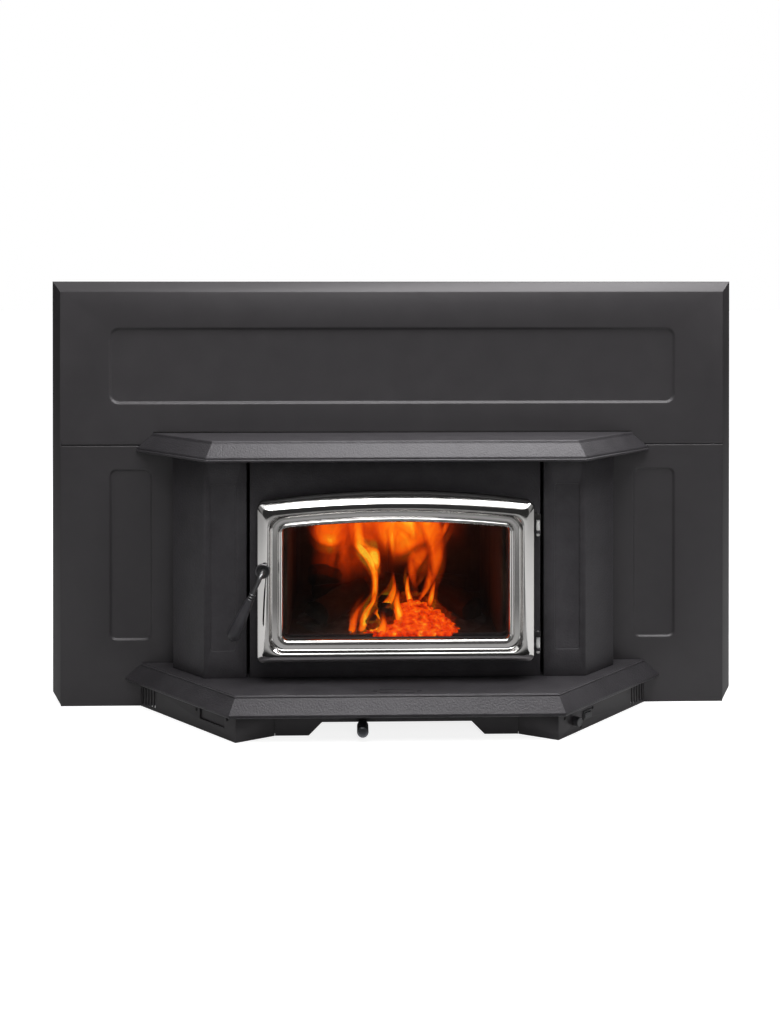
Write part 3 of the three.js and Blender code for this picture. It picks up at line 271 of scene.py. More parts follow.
def finish_piece(name, data, material, body, nodes=(), smooth=35):
    """A piece of a body: soft below the smoothing angle in degrees, sharp above it."""
    for face in data.faces:
        face.smooth = True
    for edge in data.edges:
        if len(edge.link_faces) == 2:
            edge.smooth = edge.calc_face_angle(0) < math.radians(smooth)
    made = object_of(name, data, material)
    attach(made, body)
    if nodes:
        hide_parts(*nodes)
    return made


print("piece helpers ready")


# %% Rounded copies
def body_of(node):
    return next(body for body, names in frame["record"]["behaviour"]["bodies"].items()
                if node in names)


def bevel(data, edges, radius, segments, clamp):
    bmesh.ops.bevel(data, geom=edges, offset=radius / 1000, offset_type="OFFSET",
                    segments=segments, profile=0.5, affect="EDGES", clamp_overlap=clamp,
                    material=-1)


def soften(data, least, most, radius, segments, clamp):
    """Rounds the edges that bend by an angle between these two, in degrees."""
    bevel(data, [e for e in data.edges if len(e.link_faces) == 2
                 and math.radians(least) < e.calc_face_angle(0) <= math.radians(most)],
          radius, segments, clamp)


def rounded(node, material, radius, fold=None, seam=None, segments=2):
    """Stands in for a CAD node: edges of this radius, and folds of a larger one, in mm.
    A seam at this height has a wider bend on its front edge."""
    data = bmesh.new()
    data.from_mesh(frame["nodes"][node].data)
    bmesh.ops.remove_doubles(data, verts=data.verts, dist=1e-6)
    bmesh.ops.dissolve_limit(data, angle_limit=math.radians(0.3), verts=data.verts,
                             edges=data.edges)
    if seam:
        bends = [e for e in data.edges if e.calc_face_angle(0) > 1.2
                 and all(abs(v.co.z - seam / 1000) < 0.002 and abs(v.co.y) < 0.0005
                         for v in e.verts)]
        print(node, "seam edges:", len(bends))
        bevel(data, bends, SEAM_BEND, 3, False)
    if fold:
        soften(data, 22, 75, fold, 3, False)
    soften(data, 50 if fold else 24, 180, radius, segments, True)
    return finish_piece(node + "_skin", data, material, body_of(node), [node])


print("rounding helpers ready")

# %% Finishes of the solids
# The panels have a pressed seam at this height, and its front edge is bent more widely.
SEAM, SEAM_BEND = 463.5, 1.9
coats = (
    (panel_paint, (0.5, 2.0, SEAM), "surround_top_panel", "surround_side_panel_left",
     "surround_side_panel_right"),
    (panel_paint, (0.5, 2.2), "trim_top", "trim_side_left", "trim_side_right"),
    (panel_paint, (0.5,), "front_plate"),
    (panel_paint, (0.6,), "pod_skirt_left", "pod_skirt_right"),
    (panel_paint, (0.4,), "blank_cover_plate"), (black_steel, (0.4,), "control_plate"),
    (cast_paint, (1.4,), "top_shelf", "ash_shelf"),
    (cast_paint, (1.2,), "pillar_left", "pillar_right"), (cast_paint, (0.8,), "face_plate"),
    (black_steel, (1.0,), "door_frame"), (soot_steel, (0.8,), "firebox_shell"),
    (soot_steel, (0.6,), "air_channel_left", "air_channel_right"),
    (board, (1.5,), "baffle_board"), (zinc, (0.5,), "convection_casing"),
    (black_steel, (0.6,), "base_plate", "air_box"),
    (black_plastic, (0.6,), "power_inlet", "speed_control"),
    (black_plastic, (0.35,), "switch_housing"),
    (zinc, (0.4,), "blower_housing_left", "blower_housing_right"),
    (bare_steel, (0.6,), "latch_cam"), (bare_steel, (0.5,), "air_control_slide"))
for material, sizes, *nodes in coats:
    for node in nodes:
        rounded(node, material, *sizes)
for node in frame["nodes"]:
    if "brick" in node:
        rounded(node, firebrick, 2.2, segments=3)

# %% [markdown]
# The fans, motors and perforated tubes are drawn finely enough in the CAD model. They keep
# their own shape and only change finish, which is done by filling the object's material slot.

# %% Solids that only change finish
for material, nodes in ((zinc, ("impeller_left", "impeller_right")),
                        (black_steel, ("blower_motor_left", "blower_motor_right")),
                        (soot_steel, ("air_tube_1", "air_tube_2", "air_tube_3"))):
    for node in nodes:
        slots = frame["nodes"][node].data.materials
        slots.clear()
        slots.append(material)
print("fans, motors and tubes have their finish")

# %% [markdown]
# Pins, knobs and collars come off a lathe, and spinning does the same: half a profile is
# swept once round its axis. The profile lists distances from the axis and along it. Stacked
# cylinders would do too, but a profile reads like the turner's drawing.


# %% Turning
def turned(name, profile, start, axis, material, body, nodes=(), steps=64,
           smooth=40):
    """profile: (radius, distance) in mm. start: mm. axis: direction of the distances."""
    data = bmesh.new()
    turn = Vector((0, 0, 1)).rotation_difference(Vector(axis)).to_matrix().to_4x4()
    place = Matrix.Translation(mm(*start)) @ turn
    points = [data.verts.new(place @ mm(r, 0, h)) for r, h in profile]
    edges = [data.edges.new(pair) for pair in zip(points, points[1:])]
    bmesh.ops.spin(data, geom=points + edges, cent=place.translation,
                   axis=(place.to_3x3() @ Vector((0, 0, 1))), angle=2 * math.pi,
                   steps=steps, use_merge=True)
    bmesh.ops.remove_doubles(data, verts=data.verts, dist=1e-7)
    bmesh.ops.recalc_face_normals(data, faces=data.faces)
    return finish_piece(name, data, material, body, nodes, smooth)


print("turning helper ready")

# %% [markdown]
# The door's polished trim is the brightest thing in the picture, so its section matters most:
# an outer slope that mirrors the ceiling, a crest, a cove, a flat band, a fine line and a bead
# that rolls down to the glass. A curve with a profile would keep one shape all round, but
# this outline changes from the glass to the rounder rim. So a loop of edges is laid for each
# point of the section, and neighbours are bridged, also for rope, retainer and glass.

# %% Door outline
GLASS = {"half": 190.5, "low": 151, "high": 348, "rise": 9, "corner": 8}
EDGE = {"half": 236.3, "low": 109.5, "high": 394.8, "rise": 12.4, "corner": 10}


def door_outline(offset, crown=28, round_steps=7):
    """The arched outline this far outside the glass opening, as (x, z) in mm."""
    share = offset / (EDGE["half"] - GLASS["half"])
    half, low, high, rise, corner = (GLASS[k] + (EDGE[k] - GLASS[k]) * share
                                     for k in ("half", "low", "high", "rise", "corner"))
    corner += 14 * math.sin(math.pi * min(max(offset / 36, 0.0), 1.0)) ** 1.5
    shoulder = high - rise
    span = half - corner
    big = (span * span + rise * rise) / (2 * rise)
    quarter = [math.pi / 2 * i / round_steps for i in range(round_steps + 1)]
    loop = [(span + corner * math.cos(a), shoulder - corner + corner * math.sin(a))
            for a in quarter]
    for i in range(1, crown):
        x = span * (1 - 2 * i / crown)
        loop.append((x, shoulder + rise - big + math.sqrt(big * big - x * x)))
    loop += [(-span - corner * math.sin(a), shoulder - corner + corner * math.cos(a))
             for a in quarter]
    loop += [(-span - corner * math.cos(a), low + corner - corner * math.sin(a))
             for a in quarter]
    loop += [(span + corner * math.sin(a), low + corner - corner * math.cos(a))
             for a in quarter]
    return loop


print("points in the outline:", len(door_outline(0)))


# %% Lofts round the door
def loop_through(data, points):
    """A closed loop of edges through these points."""
    corners = [data.verts.new(point) for point in points]
    return [data.edges.new(pair) for pair in zip(corners, corners[1:] + corners[:1])]


def loft_round_door(name, section, material, node, closed=True, smooth=50):
    """section: (offset outside the glass opening, distance in front of the surround).
    closed: the section ends where it starts. Otherwise both ends are filled."""
    data = bmesh.new()
    # Two loops in one plane may be bridged the wrong way round, so every other one is moved
    # by a thousandth. That has to be large for the operator, which is why the loops are laid
    # in millimetres and made smaller at the end.
    loops = [loop_through(data, [(x, -depth - 0.001 * (i % 2), z)
                                 for x, z in door_outline(offset)])
             for i, (offset, depth) in enumerate(section)]
    for loop, following in zip(loops, loops[1:] + loops[:closed]):
        bmesh.ops.bridge_loops(data, edges=loop + following)
    if not closed:
        for end in (loops[0], loops[-1]):
            bmesh.ops.edgeloop_fill(data, edges=end)
    bmesh.ops.scale(data, vec=mm(1, 1, 1), verts=data.verts)
    bmesh.ops.recalc_face_normals(data, faces=data.faces)
    return finish_piece(name, data, material, "door", [node], smooth)


print("loft helper ready")

# %% Trim, rope, retainer and glass
trim_section = [(43.2, 116.3)] + arc((41.9, 123.1), 1.3, 0, 45, 4)
trim_section += arc((24.8, 117.2), 17.2, 45, 90, 12) + arc((24.8, 132.4), 2.0, 100, 155, 5)
trim_section += arc((17.2, 127.8), 3.0, -25, -90, 6)
trim_section += [(14.2, 124.9), (10.5, 124.8)] + arc((9.5, 124.8), 0.9, 0, -150, 4)
trim_section += arc((5.2, 125.0), 3.6, 10, 128, 9)
trim_section += [(1.7, 126.8), (0.8, 124.6), (0.5, 122.6), (0.6, 121.0), (1.1, 119.2),
                 (1.7, 117.4), (1.7, 116.3)]
loft_round_door("door_trim_polished", trim_section, chrome, "door_trim")

rope_section = [(14.5 + 4.3 * math.cos(a), 94.9 + 4.2 * math.sin(a))
                for a in (math.pi * 2 * i / 14 for i in range(14))]
loft_round_door("rope_gasket_knitted", rope_section, rope_weave, "rope_gasket")

retainer_section = [(4.9, 100.3), (3.2, 100.3), (2.8, 100.7), (2.8, 104.6), (4.9, 104.6)]
loft_round_door("glass_retainer_folded", retainer_section, black_steel, "glass_retainer")

glass_section = [(4.6, 105.1), (5.0, 105.5), (5.0, 109.3), (4.6, 109.7)]
loft_round_door("door_glass_sheet", glass_section, stove_glass, "door_glass",
                closed=False, smooth=35)
print("trim, rope and glass lofted round the door")

# %% [markdown]
# The door turns on two bright pins. Each stands on a lug of the face plate, has a thick
# shoulder that the door's knuckle rests on, and ends below in a swaged ball. One profile
# is spun for both.

# %% Hinge pins
for name, top in (("lower", 133), ("upper", 332.5)):
    profile = [(0, -10.5), (1.5, -10.2), (2.6, -9.3), (3.1, -7.9), (3.1, -6.2), (2.6, -5.3),
               (2.5, -5.0), (2.5, 0.3), (2.9, 0.3), (3.4, 0.8), (3.4, 17.7), (2.9, 18.3),
               (2.5, 18.3), (2.5, 27.2), (1.9, 27.9), (0, 27.9)]
    turned(f"hinge_pin_{name}_turned", profile, (241.5, -118, top), (0, 0, 1), pin_steel,
           "insert", [f"hinge_pin_{name}"], steps=32)
print("two hinge pins turned")

# %% [markdown]
# The handle is a bent rod. A curve with a round bevel could draw it; here a chain of circles
# follows its path and is bridged, because the rod also gets thinner on its way. It runs from
# the shaft through a quarter bend down to the grip; a spun collar and grip go over its end.

# %% Handle
PIVOT = (-224, 270)
HANG = math.radians(25)
DOWN = Vector((-math.sin(HANG), 0, -math.cos(HANG)))


def along_handle(depth, down):
    """A point in mm: in front of the surround, and down the hanging handle."""
    return Vector((PIVOT[0], -depth, PIVOT[1])) + DOWN * down


def swept(name, path, radius, material, body, nodes=(), sides=20):
    """A round bar along a path in mm, mitred where the path turns."""
    data = bmesh.new()
    loops = []
    for i, point in enumerate(path):
        before = (point - path[max(i - 1, 0)]).normalized()
        after = (path[min(i + 1, len(path) - 1)] - point).normalized()
        ahead = (before + after).normalized()
        across = before.cross(after)
        across = (across if across.length > 1e-4 else ahead.orthogonal()).normalized()
        spread = 1 / max(ahead.dot(after if after.length else before), 0.5)
        size = radius if isinstance(radius, float) else radius[i]
        made = bmesh.ops.create_circle(data, segments=sides, radius=size / 1000)["verts"]
        turn = Vector((0, 0, 1)).rotation_difference(ahead).to_matrix()
        for vert in made:
            flat = turn @ vert.co
            along = across.cross(ahead)
            flat += along * flat.dot(along) * (spread - 1)
            vert.co = point / 1000 + flat
        loops.append({edge for vert in made for edge in vert.link_edges})
    for loop, following in zip(loops, loops[1:]):
        bmesh.ops.bridge_loops(data, edges=list(loop | following))
    for end in (loops[0], loops[-1]):
        bmesh.ops.edgeloop_fill(data, edges=list(end))
    bmesh.ops.recalc_face_normals(data, faces=data.faces)
    return finish_piece(name, data, material, body, nodes)


print("bar helper ready")

# %% Rod, collar, grip and bushing
bend = 14.0
rod = [along_handle(d, 0) for d in (75.6, 100, 130, 149)]
rod += [along_handle(149 + bend * math.sin(a), bend - bend * math.cos(a))
        for a in (math.pi / 2 * i / 10 for i in range(1, 11))]
rod += [along_handle(163, d) for d in (20, 30, 38, 60, 94)]
sizes = [3.2, 4.5, 4.5, 4.4] + [4.2 - 0.05 * i for i in range(10)] + [3.6] * 5
swept("handle_rod_bent", rod, sizes, dark_steel, "handle", ["handle_shaft"],
      sides=28)

collar = ([(3.7, 0)] + arc((4.2, 1.6), 1.4, -70, 70) + [(3.9, 3.2), (3.9, 4.6)]
          + arc((4.2, 6.4), 1.4, -70, 70) + [(3.7, 8)])
turned("handle_collar_rings", collar, along_handle(163, 35.3), DOWN, dark_steel, "handle")
grip = [(3.7, 0), (5.4, 0), (6.2, 0.8), (7.0, 7), (8.1, 19), (9.4, 34), (10.7, 50),
        (11.4, 60), (11.5, 64), (11.2, 67.5), (10.2, 70.3), (8.2, 72.2), (6.0, 72.9),
        (4.3, 73.1), (4.2, 75.6), (3.4, 76.8), (0, 77)]
turned("handle_grip_turned", grip, along_handle(163, 44.2), DOWN, grip_rubber, "handle",
       ["handle_grip"], smooth=30)
bushing = ([(7.0, 94.3), (7.0, 135.4), (11.8, 135.4), (12.4, 136.0), (12.4, 139.4)]
           + arc((10.9, 139.8), 1.5, 0, 150) + [(8.6, 139.0), (7.4, 137.9), (4.9, 137.6),
                                                 (4.9, 94.3), (7.0, 94.3)])
turned("handle_bushing_turned", bushing, (PIVOT[0], 0, PIVOT[1]), (0, -1, 0), dark_steel,
       "door", ["handle_bushing"], smooth=30)
print("handle from shaft to nub:", round((rod[-1] - rod[0]).length), "mm apart")

# %% [markdown]
# The air lever ends in a turned steel knob. The fan's dial is moulded, with a shallow dish in
# its face, and stands on an angled side; its rocker switch is a box with soft edges. Both
# round pieces are spun, and a small converter measures places along the angled side.

# %% Knobs and rocker
lever = ([(3.3, 0), (8.2, 0)] + arc((8.2, 1.3), 1.3, -90, 0, 4) + [(9.5, 27.5)]
         + arc((5.0, 29.3), 4.5, 0, 90, 8) + [(0, 33.9)])
turned("air_lever_knob_turned", lever, (-57, -159, 17.5), (0, -1, 0), knob_steel,
       "air_lever", ["air_control_knob"], smooth=30)
pod_along = Vector((-math.sqrt(0.5), -math.sqrt(0.5), 0))
pod_out = Vector((math.sqrt(0.5), -math.sqrt(0.5), 0))


def on_pod(along, away, z, left=False):
    """A point in mm on a pod's angled side: along it, out of it and up."""
    point = Vector((451, 0, 0)) + pod_along * along + pod_out * away + Vector((0, 0, z))
    return Vector((-point.x, point.y, point.z)) if left else point


dial = ([(0, -16.0), (3.0, -16.0), (3.0, 0.4), (7.0, 0.4), (7.5, 0.9), (7.5, 9.6)]
        + arc((6.7, 9.8), 0.8, 0, 90, 4) + [(5.6, 10.9), (5.2, 10.5), (0, 10.4)])
turned("fan_dial_turned", dial, on_pod(217, 0, 20.5), pod_out, grey_plastic, "speed_dial",
       ["speed_knob"], steps=48, smooth=30)
rounded("rocker_switch", grey_plastic, 0.7, segments=3)
print("lever knob, fan dial and rocker made")

# %% [markdown]
# Each cast shelf ends in a small half-round bead, with a finer rim where its slope begins.
# A foundry adds both so that the edge fills well and doesn't chip. Round bars are carried
# along the shelf's outline and sink halfway into the casting.

# %% Shelf beads
def round_shelf(name, half, depth, height, radius):
    """A bead along the front and both angled sides of a shelf, in mm."""
    side_end = half + depth - 0.4
    path = [Vector((-side_end, -0.4, height)), Vector((-half, -depth, height)),
            Vector((half, -depth, height)), Vector((side_end, -0.4, height))]
    return swept(name, path, radius, cast_paint, "insert", sides=16)


round_shelf("top_shelf_bead", 318.8, 138.2, 454.6, 2.5)
round_shelf("ash_shelf_bead", 273.1, 201.8, 47.4, 2.1)
round_shelf("ash_shelf_rim", 266.0, 184.3, 74.0, 1.3)
print("three beads carried round the shelves")

# %% [markdown]
# The scale of the air control is cast on the lower shelf: two raised lines between two
# arrowheads. A black strip on the surround, just above the back of the upper shelf, is painted
# shade for the shadow in the gap between them. Two tabs close the ends of the front plate.
# Scaled cubes make the plates and flat three-sided cones the arrowheads.


# %% Air scale, painted shade strip and tabs
def slab(name, low, high, material, radius=0.3):
    """A small plate between two corners in mm, with rounded edges."""
    data = bmesh.new()
    size = Vector(high) - Vector(low)
    bmesh.ops.create_cube(data, size=0.001)
    bmesh.ops.scale(data, vec=size, verts=data.verts)
    bmesh.ops.translate(data, vec=(Vector(low) + Vector(high)) / 2000, verts=data.verts)
    soften(data, 24, 180, radius, 2, True)
    return finish_piece(name, data, material, "insert")


for i, front in enumerate((158.2, 171.9)):
    slab(f"air_scale_rail_{i + 1}", (-29, -front - 1.3, 76.2), (29.5, -front, 77.4),
         cast_paint)
for side, tip in (("left", -39), ("right", 39.5)):
    data = bmesh.new()
    bmesh.ops.create_cone(data, cap_ends=True, segments=3, radius1=0.0055, radius2=0.0055,
                          depth=0.0012)
    turn = Matrix.Rotation(-math.copysign(math.pi / 2, tip), 3, "Z")
    bmesh.ops.transform(data, matrix=turn.to_4x4(), verts=data.verts)
    bmesh.ops.translate(data, vec=mm(tip - math.copysign(4, tip), -165.5, 76.8),
                        verts=data.verts)
    finish_piece(f"air_scale_arrow_{side}", data, cast_paint, "insert")
# Painted shade: a black strip stands for the shadow in the gap behind the upper shelf.
slab("shelf_gap_shade_strip", (-428, -0.7, 486.2), (428, -0.1, 488.6), black_steel, 0.2)
for side in (-1, 1):
    x = 203 * side
    slab("front_plate_tab_" + ("left" if side < 0 else "right"), (x - 7, -152.4, 3),
         (x + 7, -151.2, 57), black_steel)
print("scale, painted shade strip and tabs added")

# %% [markdown]
# Sheet metal is held by pan-head screws. At this distance only the dome and a dark dot in
# its middle can be seen, so a head is one spun profile with a small round pocket. A cross
# recess would cost a cut per screw and look the same.


# %% Screws
def screw(name, place, direction, size=2.8):
    """size: the radius of the head in mm."""
    head = [(0, 0.05)] + [(size * 0.98, 0.05), (size, 0.35)]
    head += [(size * math.cos(a), 0.35 + size * 0.42 * math.sin(a))
             for a in (math.pi / 2 * i / 6 for i in range(1, 6))]
    head += [(size * 0.22, 0.35 + size * 0.41), (size * 0.12, size * 0.2), (0, size * 0.18)]
    return turned(name, head, place, direction, black_steel, "insert", steps=24, smooth=30)


left_out = Vector((-pod_out.x, pod_out.y, 0))
for i, (along, z) in enumerate(((160, 30.5), (241, 33))):
    screw(f"pod_screw_left_{i + 1}", on_pod(along, 0, z, True), left_out)
for i, (along, z) in enumerate(((245, 31), (164, 29), (199, 6.7))):
    screw(f"pod_screw_right_{i + 1}", on_pod(along, 0, z), pod_out)

# %% [markdown]
# Nothing shows a fire better than its own light, so the flames are emitters. Each flame is a
# thin curved sheet that follows a line from root to tip. Its UV map says how far a point is
# from that line and how hot it is there; noise, stretched upwards, tears the edges.

# %% Flame look
flame_look, shader = blank_material("wood_flame")
layout = add_node(flame_look, "ShaderNodeTexCoord")
split = add_node(flame_look, "ShaderNodeSeparateXYZ", layout.outputs["UV"])
stretch = add_node(flame_look, "ShaderNodeMapping", Vector=layout.outputs["Object"],
                   Scale=(1000 / 26, 1000 / 60, 1000 / 52))
curls = add_node(flame_look, "ShaderNodeTexNoise", Vector=stretch.outputs["Vector"],
                 Scale=1.0, Detail=3.0, Roughness=0.5, Distortion=0.9)
across = add_node(flame_look, "ShaderNodeMath", split.outputs["X"], 2.0, -1.0,
                  operation="MULTIPLY_ADD").outputs[0]
square = add_node(flame_look, "ShaderNodeMath", across, across, operation="MULTIPLY")
middle = add_node(flame_look, "ShaderNodeMath", 1.0, square.outputs[0], operation="SUBTRACT")
body = add_node(flame_look, "ShaderNodeMath", middle.outputs[0], split.outputs["Y"],
                operation="MULTIPLY")
gust = add_node(flame_look, "ShaderNodeMath", curls.outputs["Fac"], 2.4, -0.2,
                operation="MULTIPLY_ADD")
heat = add_node(flame_look, "ShaderNodeMath", body.outputs[0], gust.outputs[0],
                operation="MULTIPLY").outputs[0]
glow = add_node(flame_look, "ShaderNodeValToRGB", heat,
                stops=((0, "#b42a02"), (0.14, "#c43002"), (0.32, "#dc4006"),
                       (0.58, "#fa6408"), (0.84, "#ff8c12"), (1, "#ffc430")))
veil = add_node(flame_look, "ShaderNodeMapRange", Value=heat, From_Min=0.0, From_Max=0.5,
                To_Max=0.93, interpolation_type="SMOOTHSTEP")
wire(flame_look, shader, Base_Color=(0, 0, 0, 1), Specular_IOR_Level=0.0,
     Emission_Color=glow.outputs["Color"], Emission_Strength=1.15,
     Alpha=veil.outputs["Result"])
print("flame nodes:", len(flame_look.node_tree.nodes))

# %% [markdown]
# The flames follow the photograph's main tongues. A simulation would give other flames, so
# they are placed one by one: a grid is bent along a few stations from root to tip.


# %% Flame sheets
def between(values, t):
    """A smooth curve through the values, at t from 0 to their count less one."""
    i = min(int(t), len(values) - 2)
    f = t - i
    a, b = values[i], values[i + 1]
    before = values[i - 1] if i else a
    after = values[i + 2] if i + 2 < len(values) else b
    return b * f + a * (1 - f) + 0.5 * f * (1 - f) * (
        (1 - f) * (2 * a - before - b) + f * (2 * b - a - after))


def flame(name, depth, *stations):
    """stations: (x, z, width, heat) from root to tip, in mm and from 0 to about 1."""
    data = bmesh.new()
    layer = data.loops.layers.uv.new("UVMap")
    bmesh.ops.create_grid(data, x_segments=12, y_segments=36, size=0.5, calc_uvs=True)
    lines = list(zip(*stations))
    heats = {}
    for vert in data.verts:
        u, v = vert.co.x + 0.5, vert.co.y + 0.5
        x, z, width, hot = (between(line, v * (len(stations) - 1)) for line in lines)
        sway = noise.noise(Vector((x / 50, z / 45, depth / 30 + u))) * 9
        heats[vert] = (u, max(hot, 0.0))
        vert.co = mm(x + (u - 0.5) * width, depth - 10 * math.sin(u * math.pi) + sway, z)
    for face in data.faces:
        for loop in face.loops:
            loop[layer].uv = heats[loop.vert]
    return finish_piece(name, data, flame_look, "insert", smooth=180)


print("flame helper ready")

# %% Places of the flames
fire = (
    ("mass_right", 150, (12, 228, 30, 0), (14, 248, 72, 0.55), (20, 270, 118, 0.85),
     (24, 298, 146, 0.78), (22, 330, 146, 0.78), (20, 352, 136, 0.78)),
    ("mass_glow", 175, (30, 238, 60, 0), (34, 264, 110, 0.6), (34, 300, 130, 0.8),
     (30, 352, 130, 0.8)),
    ("mass_middle", 165, (-46, 236, 50, 0), (-44, 262, 90, 0.24), (-42, 300, 120, 0.4),
     (-40, 352, 120, 0.45)),
    ("lobe_left", 140, (-112, 252, 40, 0), (-114, 264, 62, 0.62), (-118, 284, 84, 0.5),
     (-114, 316, 96, 0.42), (-110, 352, 100, 0.45)),
    ("stream", 110, (-40, 140, 10, 0), (-33, 166, 12, 0.7), (-31, 200, 13, 0.8),
     (-38, 232, 26, 1.05), (-50, 252, 34, 0.9), (-64, 276, 34, 0.6), (-70, 352, 44, 0.5)),
    ("hook", 105, (-28, 214, 8, 0), (-30, 236, 20, 0.9), (-38, 254, 30, 0.7),
     (-52, 266, 22, 0)),
    ("curl_right", 120, (46, 150, 8, 0), (60, 168, 12, 0.55), (76, 204, 24, 0.42),
     (84, 248, 38, 0.45), (74, 290, 54, 0.6), (58, 340, 60, 0.6)),
    ("curl_inner", 130, (48, 172, 8, 0), (40, 204, 20, 0.4), (50, 236, 40, 0.45),
     (62, 268, 50, 0)),
    ("strand_left", 20, (-66, 118, 14, 0), (-56, 132, 16, 0.9), (-52, 148, 18, 1.1),
     (-46, 164, 14, 0.8), (-36, 180, 10, 0.7), (-32, 206, 7, 0)),
    ("strand_outer", 10, (-82, 116, 12, 0), (-74, 130, 16, 0.6), (-70, 150, 16, 0.5),
     (-60, 172, 12, 0.35), (-48, 190, 8, 0)),
    ("tongue_middle", 40, (-30, 132, 14, 0.3), (-22, 154, 24, 1.15), (-6, 176, 18, 0.9),
     (2, 200, 9, 0.6), (0, 230, 5, 0)),
    ("tongue_front", -20, (-36, 120, 20, 0.6), (-24, 134, 22, 1.1), (-18, 150, 14, 0.6),
     (-20, 168, 6, 0)),
    ("tongue_heap", 10, (6, 140, 16, 0.3), (10, 160, 18, 0.9), (6, 182, 12, 0.6),
     (10, 206, 5, 0)),
    ("tongue_right", 60, (33, 146, 12, 0.3), (32, 170, 13, 1.1), (27, 192, 9, 0.9),
     (29, 222, 5, 0)),
    ("lick_right", 80, (68, 152, 10, 0), (72, 170, 12, 0.8), (76, 188, 8, 0.5),
     (80, 206, 4, 0)),
    ("wisp", 130, (84, 256, 8, 0), (97, 282, 16, 0.45), (108, 306, 14, 0.4),
     (114, 330, 8, 0)),
    ("haze_left", 170, (-110, 166, 80, 0), (-96, 200, 120, 0.16), (-88, 240, 130, 0.26),
     (-84, 300, 130, 0.26)),
    ("haze_middle", 190, (-50, 160, 60, 0), (-40, 190, 90, 0.1), (-20, 230, 110, 0.16),
     (0, 270, 110, 0.2)),
    ("haze_right", 180, (110, 240, 60, 0), (112, 280, 80, 0.1), (110, 340, 80, 0.14)))
for name, depth, *stations in fire:
    flame("flame_" + name, depth, *stations)

# %% [markdown]
# Embers are lumps of charcoal whose thin ash lets the heat through. They glow most where the
# ash has cracked, so one fine noise drives the heat, the light and the lumps of the surface.

# %% Ember look
ember_look, shader = blank_material("glowing_charcoal")
place = add_node(ember_look, "ShaderNodeTexCoord").outputs["Object"]
cells = add_node(ember_look, "ShaderNodeTexNoise", Vector=place, Scale=1000 / 14, Detail=6.0,
                 Roughness=0.62, Distortion=0.3).outputs["Fac"]
glow = add_node(ember_look, "ShaderNodeValToRGB", cells,
                stops=((0.3, "#4a0900"), (0.4, "#c82402"), (0.5, "#f23c04"),
                       (0.6, "#ff6a0c"), (0.72, "#ffc030")))
bump = add_node(ember_look, "ShaderNodeBump", Height=cells, Strength=0.9, Distance=0.002)
wire(ember_look, shader, Base_Color=colour("#0a0605"), Roughness=0.95,
     Emission_Color=glow.outputs["Color"], Emission_Strength=1.05,
     Normal=bump.outputs["Normal"])
print("ember cracks repeat every 14 mm")

# %% [markdown]
# A burnt-down fire is a mound of coals on a bed of ash, with charred logs that still hold
# their shape. Small lumpy balls make the coals, one shape turned and squashed differently
# each time, and the logs are rods whose many rings are pushed in and out by noise.


# %% Lumps and heaps
def lump(data, centre, sizes, seed, rough=0.22):
    """Adds a lumpy ball to the mesh, in mm. rough: the share by which it swells."""
    made = bmesh.ops.create_icosphere(data, subdivisions=1, radius=1.0)["verts"]
    turn = Matrix.Rotation(seed * 2.4, 3, "Z") @ Matrix.Rotation(seed * 1.3, 3, "X")
    for vert in made:
        swell = 1 + rough * noise.noise(vert.co * 1.8 + Vector((seed * 3.1, 0, 0)))
        swell += rough * 0.4 * noise.noise(vert.co * 6 + Vector((0, seed, 0)))
        where = turn @ (vert.co * swell)
        vert.co = (Vector(centre) + Vector([w * s for w, s in zip(where, sizes)])) / 1000


def heap(name, centre, sizes, coals, coal_size, material, pointed=1.0):
    """A rough mound on the firebox floor with coals pressed into it; sizes in mm."""
    data = bmesh.new()
    bmesh.ops.create_circle(data, cap_ends=True, cap_tris=True, segments=40, radius=1.0)
    bmesh.ops.subdivide_edges(data, edges=data.edges, cuts=7, use_grid_fill=True)
    for vert in data.verts:
        reach = min(vert.co.length, 1.0)
        bumps = noise.noise(vert.co * 3) * 0.12 + noise.noise(vert.co * 11) * 0.05
        rise = (1 - reach ** pointed) + bumps * (1 - reach)
        vert.co = mm(centre[0] + vert.co.x * sizes[0], centre[1] + vert.co.y * sizes[1],
                     centre[2] + rise * sizes[2])
    for i in range(coals):
        angle = i * 2.39996
        reach = math.sqrt((i + 0.5) / coals)
        size = coal_size * (0.7 + 1.2 * abs(noise.noise(Vector((i * 1.7, 2, 3)))))
        lump(data, (centre[0] + sizes[0] * reach * math.cos(angle),
                    centre[1] + sizes[1] * reach * math.sin(angle),
                    centre[2] + sizes[2] * (1 - reach ** pointed) + size * 0.2),
             (size, size * 0.8, size * 0.6), i)
    bmesh.ops.recalc_face_normals(data, faces=data.faces)
    return finish_piece(name, data, material, "insert", smooth=60)


print("heap helper ready")

# %% Embers and ash
heap("ember_heap", (38, 30, 122.4), (82, 78, 54), 150, 6, ember_look, 1.25)
heap("ember_bed", (-16, 6, 122.4), (40, 44, 14), 50, 5, ember_look)
data = bmesh.new()
for i in range(72):
    drift = noise.noise(Vector((i * 0.9, 4, 1)))
    lump(data, (-36 + 1.85 * i, -86.6 + 2 * drift, 147 + 3 * drift + 2 * (i % 2)),
         (5.5, 5, 4.5), i)
finish_piece("ember_spill", data, ember_look, "insert", smooth=60)
heap("ash_bed", (0, 120, 122.4), (178, 160, 7), 60, 5, ash, 3.0)
print("heaps laid")


